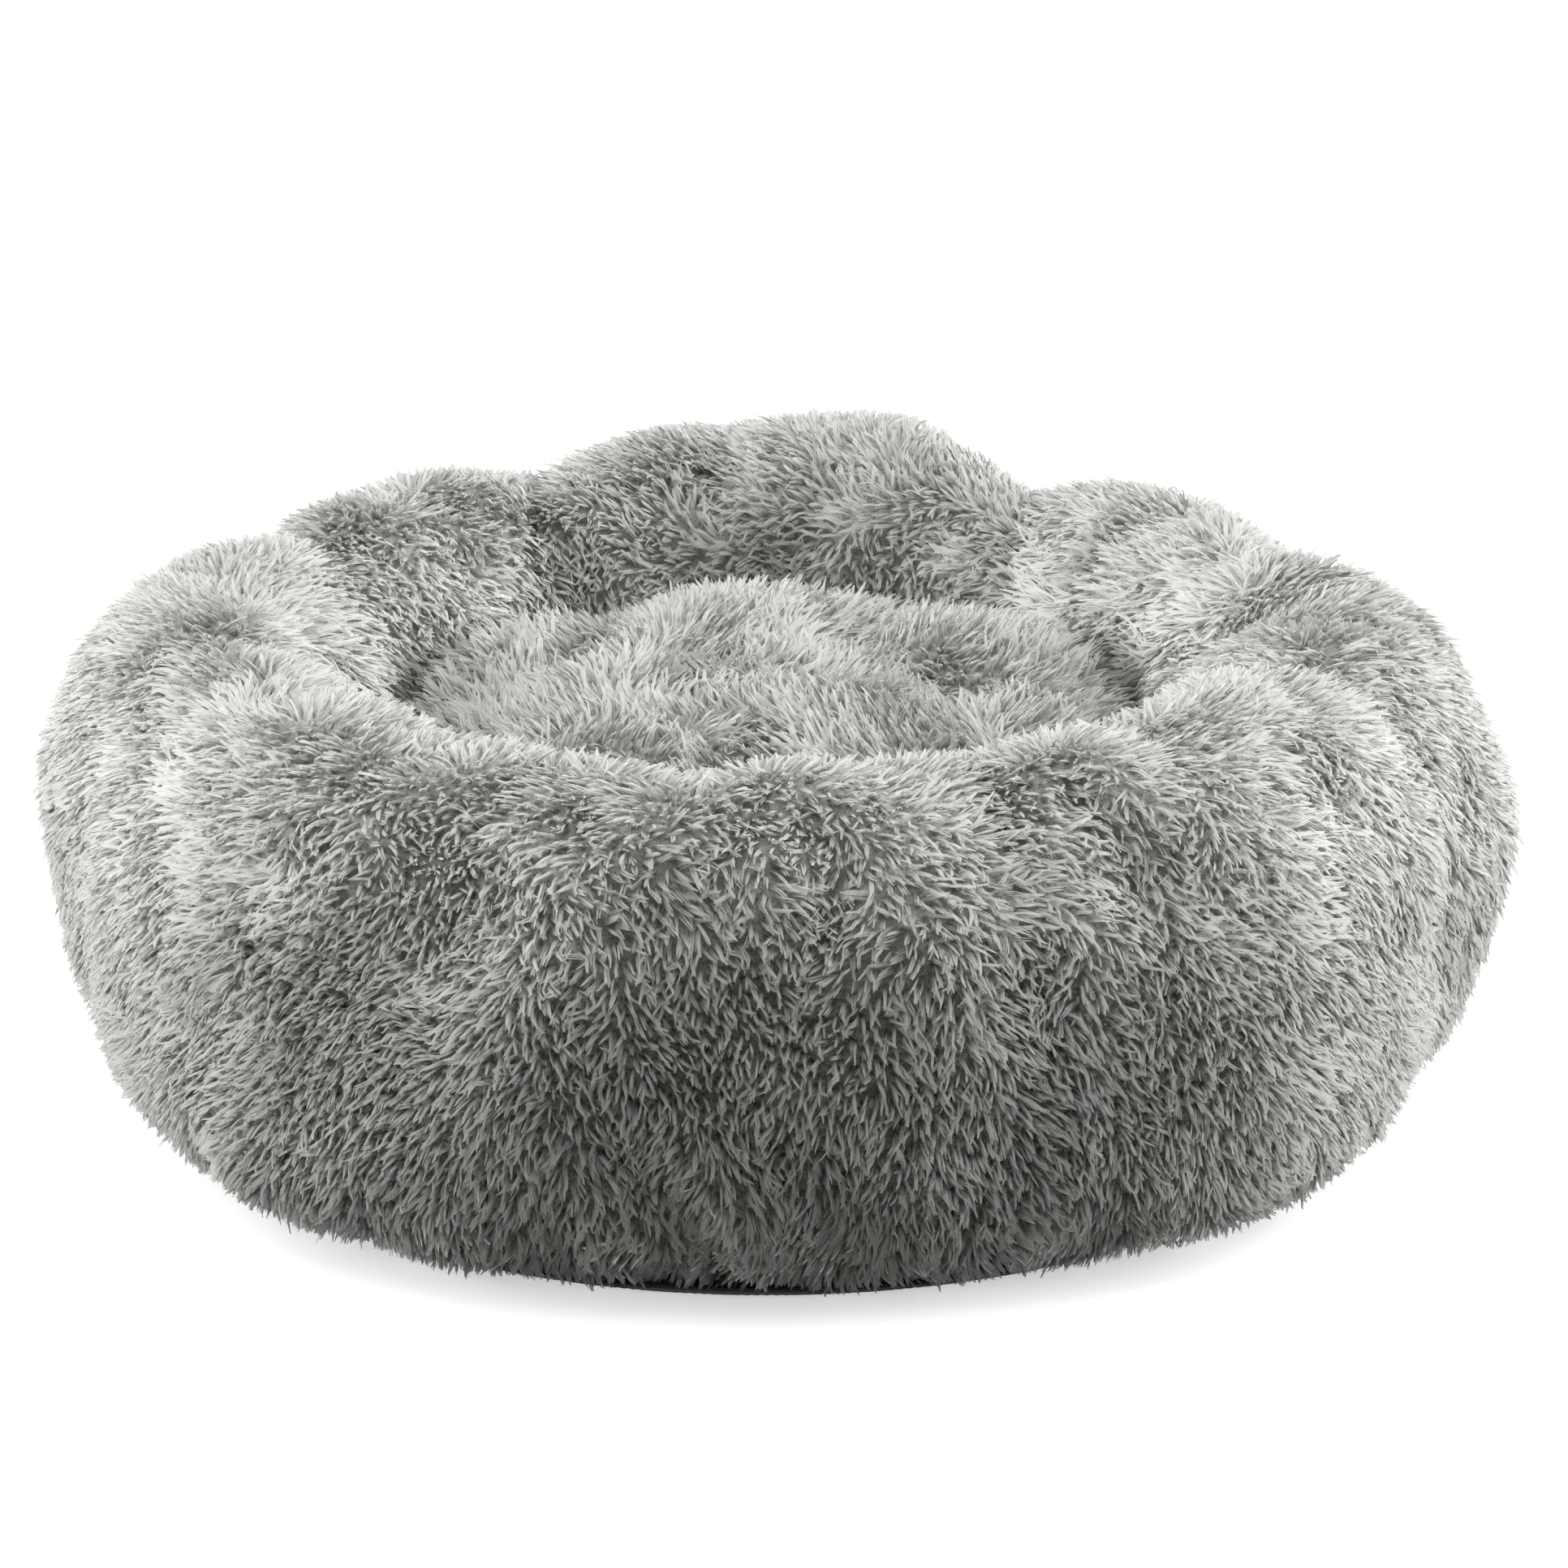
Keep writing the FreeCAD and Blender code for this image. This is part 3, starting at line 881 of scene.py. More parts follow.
    def comb(self, chamber: Chamber, share: Array, over: Array, patch: Patch, slope: Array) -> Array:
        """Work out one chamber's combing at places on or beside it.

        Args:
            chamber: how its pile parts and is swept.
            share: each place's share of the way from seam to seam, beyond 0 to 1 on a neighbour.
            over: each place's share of the way over the arch.
            patch: the skin that the places are on.
            slope: (n, 2) downhill direction across and up the skin.

        Returns:
            (n, 2) combing across and up the skin.
        """
        aside = (share - chamber.whorl[0]) * patch.widths.mean()
        above = (over - chamber.whorl[1]) * patch.rise[-1]
        away = np.stack([aside, above], axis=-1) / (np.hypot(aside, above) + 0.02)[:, None]
        return chamber.parting * away + [chamber.sweep, 0.0] + chamber.drag * slope

    def flow(self, number: int, patch: Patch, column: Array, row: Array) -> Array:
        """Work out which way the fur is combed, running smoothly on across the seams.

        Args:
            number: the chamber, from 1.
            patch: its skin.
            column: each tuft's column.
            row: each tuft's row.

        Returns:
            (n, 3) directions along the skin.
        """
        across = unit(patch.read(patch.across, column, row))
        upward = unit(patch.read(patch.upward, column, row))
        roots = patch.read(patch.skin, column, row)
        columns, rows, _ = patch.skin.shape
        share, over = column / (columns - 1), row / (rows - 1)
        slope = -np.stack([across[:, 2], upward[:, 2]], axis=-1)
        count = len(self.chambers)
        comb = self.comb(self.chambers[number - 1], share, over, patch, slope)
        before = self.comb(self.chambers[number - 2], share + 1.0, over, patch, slope)
        after = self.comb(self.chambers[number % count], share - 1.0, over, patch, slope)
        near = 0.5 * np.clip(1.0 - share / self.seam_blend, 0.0, 1.0)[:, None]
        far = 0.5 * np.clip(1.0 - (1.0 - share) / self.seam_blend, 0.0, 1.0)[:, None]
        comb = comb * (1.0 - near - far) + before * near + after * far
        matted = 1.0 + 1.6 * np.exp(-((roots[:, 2] - 0.022) / 0.010) ** 2)
        swirl = (self.swirls[0].at(roots) + self.swirls[1].at(roots)) * matted
        turned_across = comb[:, 0] * np.cos(swirl) - comb[:, 1] * np.sin(swirl)
        turned_up = comb[:, 0] * np.sin(swirl) + comb[:, 1] * np.cos(swirl)
        combed = unit(across * turned_across[:, None] + upward * turned_up[:, None])
        return unit(combed + self.huddling * huddle(roots, across, upward, 0.014, 17))

    def sow(self, number: int, patch: Patch) -> list[bpy.types.Object]:
        """Grow one chamber's fur.

        Args:
            number: the chamber, from 1.
            patch: its skin.

        Returns:
            The fur on the outer half of its arch and on the inner.
        """
        rng = np.random.default_rng(100 + number)
        chamber = self.chambers[number - 1]
        height = patch.skin[self.columns // 2, :, 2]
        hidden = (np.arange(self.rows) > self.rows * 0.5) & (height < self.hidden_height)
        column, row = patch.sow(self.pile.spacing, np.where(hidden, self.hidden_gap, 1.0), rng)
        roots = patch.read(patch.skin, column, row)
        outward = unit(patch.read(patch.outward, column, row))
        flow = self.flow(number, patch, column, row)
        low = np.clip((roots[:, 2] - 0.004) / 0.035, 0.0, 1.0)
        scale = 0.78 + 0.22 * low + self.uneven.at(roots)
        # Low on the front, where the lamps leave shade, tufts gather tighter, stand up more and take more
        # painted root shade.
        front = np.clip((-roots[:, 1] - 0.12) / 0.12, 0.0, 1.0)
        depth = front * np.clip((0.165 - roots[:, 2]) / 0.05, 0.0, 1.0)
        raised = chamber.raised + 18.0 * depth + self.ruffled.at(roots)
        depth = np.clip(depth + self.clumped.at(roots), 0.0, 1.0)
        pieces = []
        for name, side in ((f"rim_fur_out_{number}", row < self.rows * self.parted),
                           (f"rim_fur_in_{number}", row >= self.rows * self.parted)):
            strands = self.pile.grow(roots[side], outward[side], flow[side], scale[side], raised[side],
                                     depth[side], self.fur_floor, rng)
            LOG.info("%s: %d strands", name, len(strands.places))
            pieces.append(add_object(name, strands.mesh(name), Finish.PILE))
        return pieces

    def stuff(self, number: int, part: Array) -> bpy.types.Object:
        """Fill one chamber with wadding, clear of its skin and its walls."""
        picks = np.concatenate([[0], np.arange(1, self.columns, 2), [self.columns]])
        patch = Patch(part)
        lump = self.tuck * (1.0 + self.stuffed.at(part))[..., None]
        body = (part - patch.outward * lump)[picks][:, ::2]
        body[0] += patch.across[0, ::2] * self.tuck / 2.0
        body[-1] -= patch.across[-1, ::2] * self.tuck / 2.0
        body[..., 2] = np.maximum(body[..., 2], self.foot_height + 10.0 * MM)
        columns, rows, _ = body.shape
        ring = np.arange(rows)
        quads = [grid_quads(columns, rows, False), lid(ring), lid(ring[::-1] + (columns - 1) * rows)]
        line = np.arange(columns - 1) * rows
        quads.append(np.stack([line, line + rows, line + 2 * rows - 1, line + rows - 1], axis=-1))
        return pad(cut_piece(f"rim_wadding_{number}", body, np.concatenate(quads), Finish.WADDING))

    def wall(self, number: int, ring: Array) -> bpy.types.Object:
        """Stretch the lining cloth that stands on a seam, from the outer side of its arch to the inner.

        Args:
            number: the seam, from 1.
            ring: (rows, 3) places of the skin along the seam.

        Returns:
            The sheet.
        """
        half = self.rows // 2
        outer = ring[:half]
        inner = ring[::-1][:half]
        middle = (outer + inner) / 2.0
        steps = np.linspace(-0.985, 0.985, 13)[:, None, None]
        sheet = middle + (inner - middle) * steps
        pucker = self.puckered.at(sheet) * MM * (1.0 - steps[..., 0] ** 2)
        flat = unit(np.cross(outer[half // 2] - inner[half // 2], [0.0, 0.0, 1.0]))
        sheet = sheet + flat * pucker[..., None]
        piece = cut_piece(f"rim_wall_{number}", sheet, grid_quads(len(steps), half, False), Finish.LINING)
        spans = np.linalg.norm(outer - inner, axis=-1)
        return piece

    def build(self) -> None:
        """Make every piece of the ring."""
        count = len(self.chambers)
        share = np.tile(np.arange(self.columns) / self.columns, count)[:, None]
        ease = np.broadcast_to(np.sin(np.pi * share), (len(share), self.rows))
        skin = self.inflation.blow(self.start_skin(), self.held(), ease, closed=True)
        for number in range(1, count + 1):
            picks = np.arange((number - 1) * self.columns, number * self.columns + 1) % len(skin)
            part = skin[picks]
            quads = grid_quads(len(picks), self.rows, False)
            ground = pad(cut_piece(f"rim_ground_{number}", part, quads, Finish.GROUND))
            thicken(ground, KNIT_DEPTH)
            for piece in [ground, *self.sow(number, Patch(part))]:
                stand_for(piece, "root", f"rim_panel_{number}")
            stand_for(self.stuff(number, part), "root", f"rim_fill_{number}")
            stand_for(self.wall(number, part[-1]), "root", f"rim_divider_{number}")


def lid(ring: Array) -> Array:
    """Number the faces that close a ring of an even number of points, straight across.

    Args:
        ring: the points' numbers, in order round the ring.

    Returns:
        (m, 4) corner numbers.
    """
    half = len(ring) // 2 - 1
    back = ring[::-1]
    return np.stack([ring[:half], back[:half], back[1:half + 1], ring[1:half + 1]], axis=-1)


def thicken(piece: bpy.types.Object, depth: float, offset: float = -1.0) -> None:
    """Give a skin its thickness: inwards, or to both sides where the offset is 0."""
    shell = piece.modifiers.new("Thickness", "SOLIDIFY")
    shell.thickness = depth
    shell.offset = offset


def pad(piece: bpy.types.Object) -> bpy.types.Object:
    """Pass a stuffed piece on as it is."""
    return piece


def stand_for(piece: bpy.types.Object, body: str, node: str) -> None:
    """Let a piece ride on a body in the place of a node, and hide the node."""
    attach(piece, body)
    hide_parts(node)


def dress_node(node: str, finish: Finish) -> None:
    """Give a node of the frame its finish."""
    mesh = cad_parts[node].data
    mesh.materials.clear()
    mesh.materials.append(finish.material())


def disc_quads(spokes: int, rings: int) -> Array:
    """Number the faces of a disc laid out as spokes and rings, with its middle closed."""
    middle = np.arange(spokes) * rings
    return np.concatenate([grid_quads(spokes, rings, True)[:, ::-1], lid(middle)])


@dataclass(frozen=True)
class Disc:
    """A round of cloth, laid from its middle out, gathered a little at its edge.

    The outline gives its height at a few radii.
    """

    name: str
    outline: tuple[tuple[float, float], ...]
    thickness: float
    finish: Finish
    held: str
    rests_on: tuple[str, ...]
    wrinkle: float
    gathers: int
    seed: int
    spokes: int = 240
    rings: int = 60

    def lay(self) -> Array:
        """Place its points, as (spokes, rings, 3)."""
        radii, heights = np.array(self.outline).T
        reach = np.concatenate([[0.0], np.cumsum(np.hypot(np.diff(radii), np.diff(heights)))])
        steps = np.linspace(0.004, reach[-1], self.rings)
        radius = np.interp(steps, reach, radii)[None, :]
        height = np.interp(steps, reach, heights)[None, :]
        turn = np.linspace(0.0, 2.0 * np.pi, self.spokes, endpoint=False)[:, None]
        places = round_about(radius, turn, height)
        edge = (radius / radii[-1]) ** 4
        strength = 0.5 + 0.5 * ripple(places, 0.05, self.seed + 1)
        pucker = np.sin(turn * self.gathers + 2.0 * ripple(places, 0.2, self.seed)) * edge * strength
        crease = 1.0 - np.abs(ripple(places, 0.06, self.seed + 2)).clip(0.0, 1.0)
        fine = 0.2 * ripple(places, 0.03, self.seed + 3)
        places[..., 2] += (pucker * 0.5 + crease ** 3 * 0.6 + fine) * self.wrinkle
        return places

    def build(self) -> bpy.types.Object:
        """Make the piece and give it its thickness."""
        places = self.lay()
        piece = cut_piece(self.name, places, disc_quads(self.spokes, self.rings), self.finish)
        thicken(piece, self.thickness)
        return piece


@dataclass(frozen=True)
class Piping:
    """A tape sewn round an edge, ribbed across and drawn up by its stitches."""

    name: str
    radius: float
    height: float
    wide: float
    tall: float
    gathers: int
    steps: int = 900
    sides: int = 12

    def build(self) -> bpy.types.Object:
        """Make the piece."""
        turn = np.linspace(0.0, 2.0 * np.pi, self.steps, endpoint=False)[:, None]
        side = np.linspace(0.0, 2.0 * np.pi, self.sides, endpoint=False)[None, :]
        round_out = np.sign(np.cos(side)) * np.abs(np.cos(side)) ** 0.6
        round_up = np.sign(np.sin(side)) * np.abs(np.sin(side)) ** 0.6
        draw = 1.0 - 0.16 * np.abs(np.sin(turn * self.gathers / 2.0)) ** 6
        radius = self.radius + self.wide / 2.0 * round_out * draw
        up = self.height + self.tall / 2.0 * round_up * draw
        places = round_about(radius, turn, up)
        quads = grid_quads(self.steps, self.sides, True)
        line = np.arange(self.steps) * self.sides
        ahead = np.roll(line, -1)
        last = self.sides - 1
        seam = np.stack([line + last, line, ahead, ahead + last], axis=-1)
        return cut_piece(self.name, places, np.concatenate([quads, seam])[:, ::-1], Finish.BINDING)


def stitches(name: str, line: Array) -> bpy.types.Object:
    """Sew a row of thread stitches along a line on the underside.

    Args:
        name: the piece's name.
        line: (n, 3) places along the row, close together.

    Returns:
        The stitches, as one piece.
    """
    length, gap = STITCH
    reach = np.concatenate([[0.0], np.cumsum(np.linalg.norm(np.diff(line, axis=0), axis=-1))])
    starts = np.arange(gap, reach[-1] - length, length + gap)
    steps = starts[:, None] + np.linspace(0.0, length, 5)[None, :]
    spine = np.stack([np.interp(steps, reach, line[:, axis]) for axis in range(3)], axis=-1)
    rise = np.array([-0.15, 0.22, 0.32, 0.22, -0.15]) * MM
    thick = np.array([0.12, 0.27, 0.32, 0.27, 0.12]) * MM
    spine = spine + DOWN * rise[None, :, None]
    heading = unit(spine[:, -1] - spine[:, 0])[:, None, :]
    side = np.cross(heading, DOWN)
    sides, rings = 6, len(rise)
    around = np.linspace(0.0, 2.0 * np.pi, sides, endpoint=False)
    offset = side[:, :, None, :] * np.cos(around)[:, None] + DOWN * np.sin(around)[:, None]
    places = spine[:, :, None, :] + offset * thick[None, :, None, None]
    one = grid_quads(sides, rings, True)
    single = one % rings * sides + one // rings
    first = np.arange(sides)
    last = (first + (rings - 1) * sides)[::-1]
    closed = np.concatenate([single, lid(first), lid(last)])
    quads = (np.arange(len(starts)) * (sides * rings))[:, None, None] + closed[None]
    return cut_piece(name, places, quads.reshape(-1, 4), Finish.THREAD)


def circle(radius: float, height: float) -> Array:
    """Give close points round a level circle."""
    return round_about(radius, np.linspace(0.0, 2.0 * np.pi, 721), height)


def strip(start: tuple[float, float], end: tuple[float, float], height: float) -> Array:
    """Give close points along a level line."""
    share = np.linspace(0.0, 1.0, 60)[:, None]
    flat = np.array(start) * (1.0 - share) + np.array(end) * share
    return np.concatenate([flat, np.full_like(share, height)], axis=1)


@dataclass(frozen=True)
class Lump:
    """A puff or a hollow in the top of the cushion: its place in plan, its reach and its rise."""

    place: tuple[float, float]
    reach: float
    rise: float


@dataclass
class Cushion:
    """The loose cushion: fur cover, lining underneath and wadding."""

    radius: float = 0.1350
    foot_radius: float = 0.1265
    bottom: float = 17.5 * MM
    waist: float = 0.100
    crown: float = 0.145
    flare: float = 13.0 * MM
    roundness: float = 0.50
    columns: int = 120
    side_rows: int = 10
    top_rows: int = 26
    thirds: int = 3
    stitch_radius: float = 0.1215
    stitch_height: float = 16.3 * MM
    tuck: float = 6.0 * MM
    lumpy: Noise = Noise(0.06, 31, 2.2)
    stuffed: Noise = Noise(0.04, 44, 0.3)
    swirls: tuple[Noise, Noise] = (Noise(0.09, 41, 2.6), Noise(0.035, 42, 0.6))
    uneven: Noise = Noise(0.05, 43, 0.08)
    ruffled: Noise = Noise(0.05, 45, 10.0)
    clumped: Noise = Noise(0.03, 46, 0.4)
    lumps: tuple[Lump, ...] = (
        Lump((0.105, 0.060), 0.045, 9.0 * MM),
        Lump((-0.112, 0.055), 0.040, 6.0 * MM),
        Lump((0.000, 0.100), 0.050, 4.0 * MM),
        Lump((-0.020, -0.005), 0.050, 6.0 * MM),
        Lump((0.060, -0.075), 0.045, 5.0 * MM),
        Lump((-0.080, -0.080), 0.045, 5.0 * MM),
        Lump((0.074, 0.008), 0.016, -13.0 * MM),
        Lump((0.093, 0.112), 0.015, -16.0 * MM),
        Lump((-0.088, 0.112), 0.015, -13.0 * MM),
        Lump((-0.083, 0.030), 0.013, -7.0 * MM),
        Lump((0.028, 0.055), 0.014, -7.0 * MM),
    )
    pile: Pile = Pile(spacing=3.1 * MM, length=11.5 * MM, lift=66.0, tip_lift=38.0, lift_vary=12.0,
                      stray=26.0, bend=0.25)
    inflation: Inflation = Inflation(pressure=3.0, slack=-0.06, cap=5.0 * MM)
    under: Disc = Disc("cushion_under", ((0.0, 17.0 * MM), (0.1252, 17.0 * MM)), 1.0 * MM, Finish.LINING,
                       "stretched", ("well_floor",), 0.4 * MM, 44, 52)
    piping: Piping = Piping("cushion_piping", 0.1262, 16.6 * MM, 4.0 * MM, 1.9 * MM, 240)

    def start_skin(self) -> Array:
        """Lay out the cover's ground from its foot to its middle, as (columns, rows, 3) places."""
        bearing = np.linspace(0.0, 2.0 * np.pi, self.columns, endpoint=False)[:, None]
        rise = np.linspace(0.0, 1.0, self.side_rows, endpoint=False)
        side_radius = self.foot_radius + (self.radius - self.foot_radius) * np.sin(rise * np.pi / 2.0)
        side_height = self.bottom + (self.waist - self.bottom) * rise
        turn = np.linspace(0.0, np.pi / 2.0, self.top_rows)
        top_radius = self.radius * np.cos(turn) ** self.roundness
        top_radius[-1] = 0.004
        top_height = self.waist + (self.crown - self.waist) * np.sin(turn) ** self.roundness
        radius = np.concatenate([side_radius, top_radius])[None, :]
        height = np.concatenate([side_height, top_height])[None, :]
        skin = round_about(radius, bearing, height)
        over = np.clip((skin[..., 2] - self.waist) / 0.03, 0.0, 1.0)
        skin[..., :2] *= 1.0 + over[..., None] * self.flare / self.radius
        push = sum(hill(skin, lump.place, lump.reach) * lump.rise for lump in self.lumps)
        push = push + self.lumpy.at(skin) * MM
        skin[..., 2] += push * over
        return skin

    def build(self) -> None:
        """Make every piece of the cushion."""
        start = self.start_skin()
        held = np.zeros(start.shape[:2])
        held[:, 0] = 1.0
        held[:, -1] = 0.3
        for lump in self.lumps:
            if lump.rise < 0.0:
                held[(hill(start, lump.place, lump.reach) > 0.6) & (start[..., 2] > self.waist)] = 1.0
        skin = self.inflation.blow(start, held, np.ones(held.shape), closed=True)
        rows = skin.shape[1]
        crown = np.arange(self.columns) * rows + rows - 1
        quads = np.concatenate([grid_quads(self.columns, rows, True), lid(crown)])
        ground = pad(cut_piece("cushion_ground", skin, quads, Finish.GROUND))
        thicken(ground, KNIT_DEPTH)
        pieces = [ground]
        share = self.columns // self.thirds
        for part in range(self.thirds):
            picks = np.arange(part * share, (part + 1) * share + 1) % self.columns
            pieces.append(self.sow(part + 1, Patch(skin[picks])))
        for piece in pieces:
            stand_for(piece, "cushion", "cushion_cover_top")
        stand_for(self.stuff(skin), "cushion", "cushion_fill")
        stand_for(self.under.build(), "cushion", "cushion_cover_base")
        stand_for(self.piping.build(), "cushion", "cushion_binding")
        row = stitches("stitches_cushion", circle(self.stitch_radius, self.stitch_height))
        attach(row, "cushion")

    def stuff(self, skin: Array) -> bpy.types.Object:
        """Fill the cushion with wadding, clear of its skin."""
        patch = Patch(skin)
        body = skin - patch.outward * (self.tuck * (1.0 + self.stuffed.at(skin)))[..., None]
        body[..., 2] = np.maximum(body[..., 2], self.bottom + 3.0 * MM)
        body[:, -1] = body[:, -2] * 0.6 + body[:, -1].mean(axis=0) * 0.4
        under = body[:, :1] * np.linspace(0.05, 0.95, 8)[None, :, None]
        under[..., 2] = self.bottom + 3.0 * MM
        body = np.concatenate([under, body], axis=1)
        rows = body.shape[1]
        line = np.arange(self.columns) * rows
        quads = [grid_quads(self.columns, rows, True), lid(line[::-1]), lid(line + rows - 1)]
        return pad(cut_piece("cushion_wadding", body, np.concatenate(quads), Finish.WADDING))

    def sow(self, number: int, patch: Patch) -> bpy.types.Object:
        """Grow the fur on one third of the cushion."""
        rng = np.random.default_rng(300 + number)
        sparse = np.where(np.arange(patch.skin.shape[1]) < self.side_rows - 2, 1.7, 1.0)
        column, row = patch.sow(self.pile.spacing, sparse, rng)
        roots = patch.read(patch.skin, column, row)
        outward = unit(patch.read(patch.outward, column, row))
        across = unit(patch.read(patch.across, column, row))
        upward = unit(patch.read(patch.upward, column, row))
        angle = self.swirls[0].at(roots) + self.swirls[1].at(roots)
        edge = np.clip((np.hypot(roots[:, 0], roots[:, 1]) - 0.09) / 0.04, 0.0, 1.0)
        comb = across * np.cos(angle)[:, None] + upward * np.sin(angle)[:, None]
        flow = unit(comb - upward * (edge * 1.5)[:, None] + 0.6 * huddle(roots, across, upward, 0.014, 47))
        scale = 1.0 - 0.35 * np.clip((0.10 - roots[:, 2]) / 0.06, 0.0, 1.0) + self.uneven.at(roots)
        # How tightly each tuft gathers and how much painted root shade it takes.
        depth = np.clip(0.2 + self.clumped.at(roots), 0.0, 1.0)
        strands = self.pile.grow(roots, outward, flow, scale, self.ruffled.at(roots), depth, self.bottom, rng)
        name = f"cushion_fur_{number}"
        LOG.info("%s: %d strands", name, len(strands.places))
        return add_object(name, strands.mesh(name), Finish.CUSHION_PILE)


@dataclass
class Underside:
    """The lining of the well, the base cloth in two halves, its bindings, the zip and the label."""

    radius: float = 0.2518
    flat_height: float = 1.75 * MM
    lift_height: float = 9.75 * MM
    lift_radius: float = 0.125
    lift_slope: float = 0.020
    cloth: float = 1.3 * MM
    slot_half: float = 0.100
    slot_side: float = 0.010
    tape_width: float = 15.0 * MM
    tape_split: float = 1.6 * MM
    tape_height: float = 10.85 * MM
    tape_half: float = 0.103
    folded: Noise = Noise(0.07, 61, 0.28)
    wavy: Noise = Noise(0.03, 71, 0.12)
    grip_circle: float = 0.200
    edge_gathers: float = 240.0
    well: Disc = Disc("well_lining", ((0.0, 14.9 * MM), (0.1665, 14.9 * MM), (0.1785, 2.7 * MM)), 1.0 * MM,
                      Finish.LINING, "laid", ("zip_tape_left", "zip_tape_right"), 0.5 * MM, 60, 51)
    bindings: tuple[tuple[Piping, str], ...] = (
        (Piping("base_piping", 0.2538, 1.75 * MM, 4.0 * MM, 1.7 * MM, 480), "base_binding"),
        (Piping("well_piping", 0.1798, 3.25 * MM, 2.0 * MM, 1.5 * MM, 340), "inner_binding"),
    )
    finishes: tuple[tuple[str, Finish], ...] = (
        ("grip_dots", Finish.RUBBER),
        ("zip_teeth_left", Finish.NYLON),
        ("zip_teeth_right", Finish.NYLON),
        ("zip_top_stops", Finish.PAINT),
        ("zip_bottom_stop", Finish.PAINT),
        ("zip_slider", Finish.PAINT),
        ("zip_pull", Finish.PAINT),
    )

    def height(self, radius: Array) -> Array:
        """Give the height of the base cloth's middle at a radius."""
        share = np.clip((radius - self.lift_radius) / self.lift_slope, 0.0, 1.0)
        return self.lift_height + (self.flat_height - self.lift_height) * share

    def half(self, side: float) -> bpy.types.Object:
        """Lay the half of the base cloth on one side of the zip: 1 behind it, -1 in front."""
        share = np.linspace(-1.0, 1.0, 161)
        across = self.radius * np.sin(share * np.pi / 2.0)
        across[np.argmin(np.abs(across - self.slot_half))] = self.slot_half
        across[np.argmin(np.abs(across + self.slot_half))] = -self.slot_half
        far = np.sqrt(np.maximum(self.radius ** 2 - across ** 2, 0.0))
        near = np.where(np.abs(across) < self.slot_half - 1e-6, self.slot_side, 0.0)
        near = np.minimum(near, far)
        steps = np.linspace(0.0, 1.0, 81)[None, :]
        along = (near[:, None] + (far - near)[:, None] * steps) * side
        across = np.broadcast_to(across[:, None], along.shape)
        radius = np.hypot(across, along)
        places = np.stack([across, along, self.height(radius)], axis=-1)
        inside = np.clip((self.radius - radius) / 0.04, 0.0, 1.0) * np.clip(radius / 0.03, 0.0, 1.0)
        quiet = 1.0 - 0.8 * np.exp(-((radius - self.grip_circle) / 0.02) ** 2)
        pucker = np.sin(np.arctan2(across, along) * self.edge_gathers) * (radius / self.radius) ** 14 * 0.25
        zip_side = np.clip((np.abs(along) - self.slot_side) / 0.03, 0.0, 1.0)
        fold = self.folded.at(places) * inside * quiet * zip_side
        places[..., 2] += (pucker + fold) * MM
        quads = grid_quads(161, 81, False)
        name = "base_back" if side > 0 else "base_front"
        piece = cut_piece(name, places, quads[:, ::-1] if side > 0 else quads, Finish.BASE)
        thicken(piece, self.cloth, 0.0)
        return piece

    def tape(self, side: float) -> bpy.types.Object:
        """Lay one tape of the zip, with the soft wave that its sewing leaves."""
        across = np.linspace(-self.tape_half, self.tape_half, 180)[:, None]
        near = self.tape_split / 2.0
        along = (near + self.tape_width * np.linspace(0.0, 1.0, 14)[None, :]) * side
        free = np.clip(np.abs(along) / (near + self.tape_width), 0.0, 1.0)
        places = np.stack(np.broadcast_arrays(across, along, np.full((1, 1), self.tape_height)), axis=-1)
        wave = self.wavy.at(places) * MM * (free + 0.2)
        places[..., 2] += np.clip(wave, -0.1 * MM, 0.3 * MM)
        name = "zip_cloth_left" if side > 0 else "zip_cloth_right"
        quads = grid_quads(180, 14, False)
        piece = cut_piece(name, places, quads[:, ::-1] if side > 0 else quads, Finish.ZIP_TAPE)
        thicken(piece, 0.6 * MM, 0.0)
        return piece

    def label(self) -> bpy.types.Object:
        """Sew the blank label on by its near edge, its free edge curling a little."""
        low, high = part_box("care_label")
        across = np.linspace(low.x, high.x, 40)[:, None]
        along = np.linspace(low.y, high.y, 26)[None, :]
        places = np.stack(np.broadcast_arrays(across, along, np.full((1, 1), high.z - 0.45 * MM)), axis=-1)
        free = (high.y - along) / (high.y - low.y)
        wave = 0.5 + 0.5 * np.sin(across * 160.0 + along * 60.0)
        places[..., 2] -= (free ** 2 * (0.9 * wave + 0.5) + 0.08 * free) * MM
        piece = cut_piece("label", places, grid_quads(40, 26, False)[:, ::-1], Finish.SATIN)
        thicken(piece, 0.25 * MM)
        return piece

    def sew(self) -> list[bpy.types.Object]:
        """Sew the visible rows of stitches."""
        low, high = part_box("care_label")
        under = self.lift_height - self.cloth / 2.0
        rows = [("stitches_base", circle(self.radius - 4.0 * MM, self.flat_height - self.cloth / 2.0)),
                ("stitches_well", circle(0.1755, self.flat_height - self.cloth / 2.0)),
                ("stitches_label", strip((low.x + MM, high.y - MM), (high.x - MM, high.y - MM),
                                         high.z - 0.6 * MM))]
        for side, name in ((1.0, "back"), (-1.0, "front")):
            for row, gap in enumerate((2.0 * MM, 5.0 * MM)):
                edge = side * (self.slot_side + gap)
                reach = self.slot_half + gap
                rows.append((f"stitches_zip_{name}_{row + 1}", strip((-reach, edge), (reach, edge), under)))
        for side, name in ((-1.0, "left"), (1.0, "right")):
            start = side * (self.slot_half + 3.0 * MM)
            end = side * (self.lift_radius - MM)
            rows.append((f"stitches_seam_{name}", strip((start, 2.0 * MM), (end, 2.0 * MM), under)))
        return [stitches(name, line) for name, line in rows]

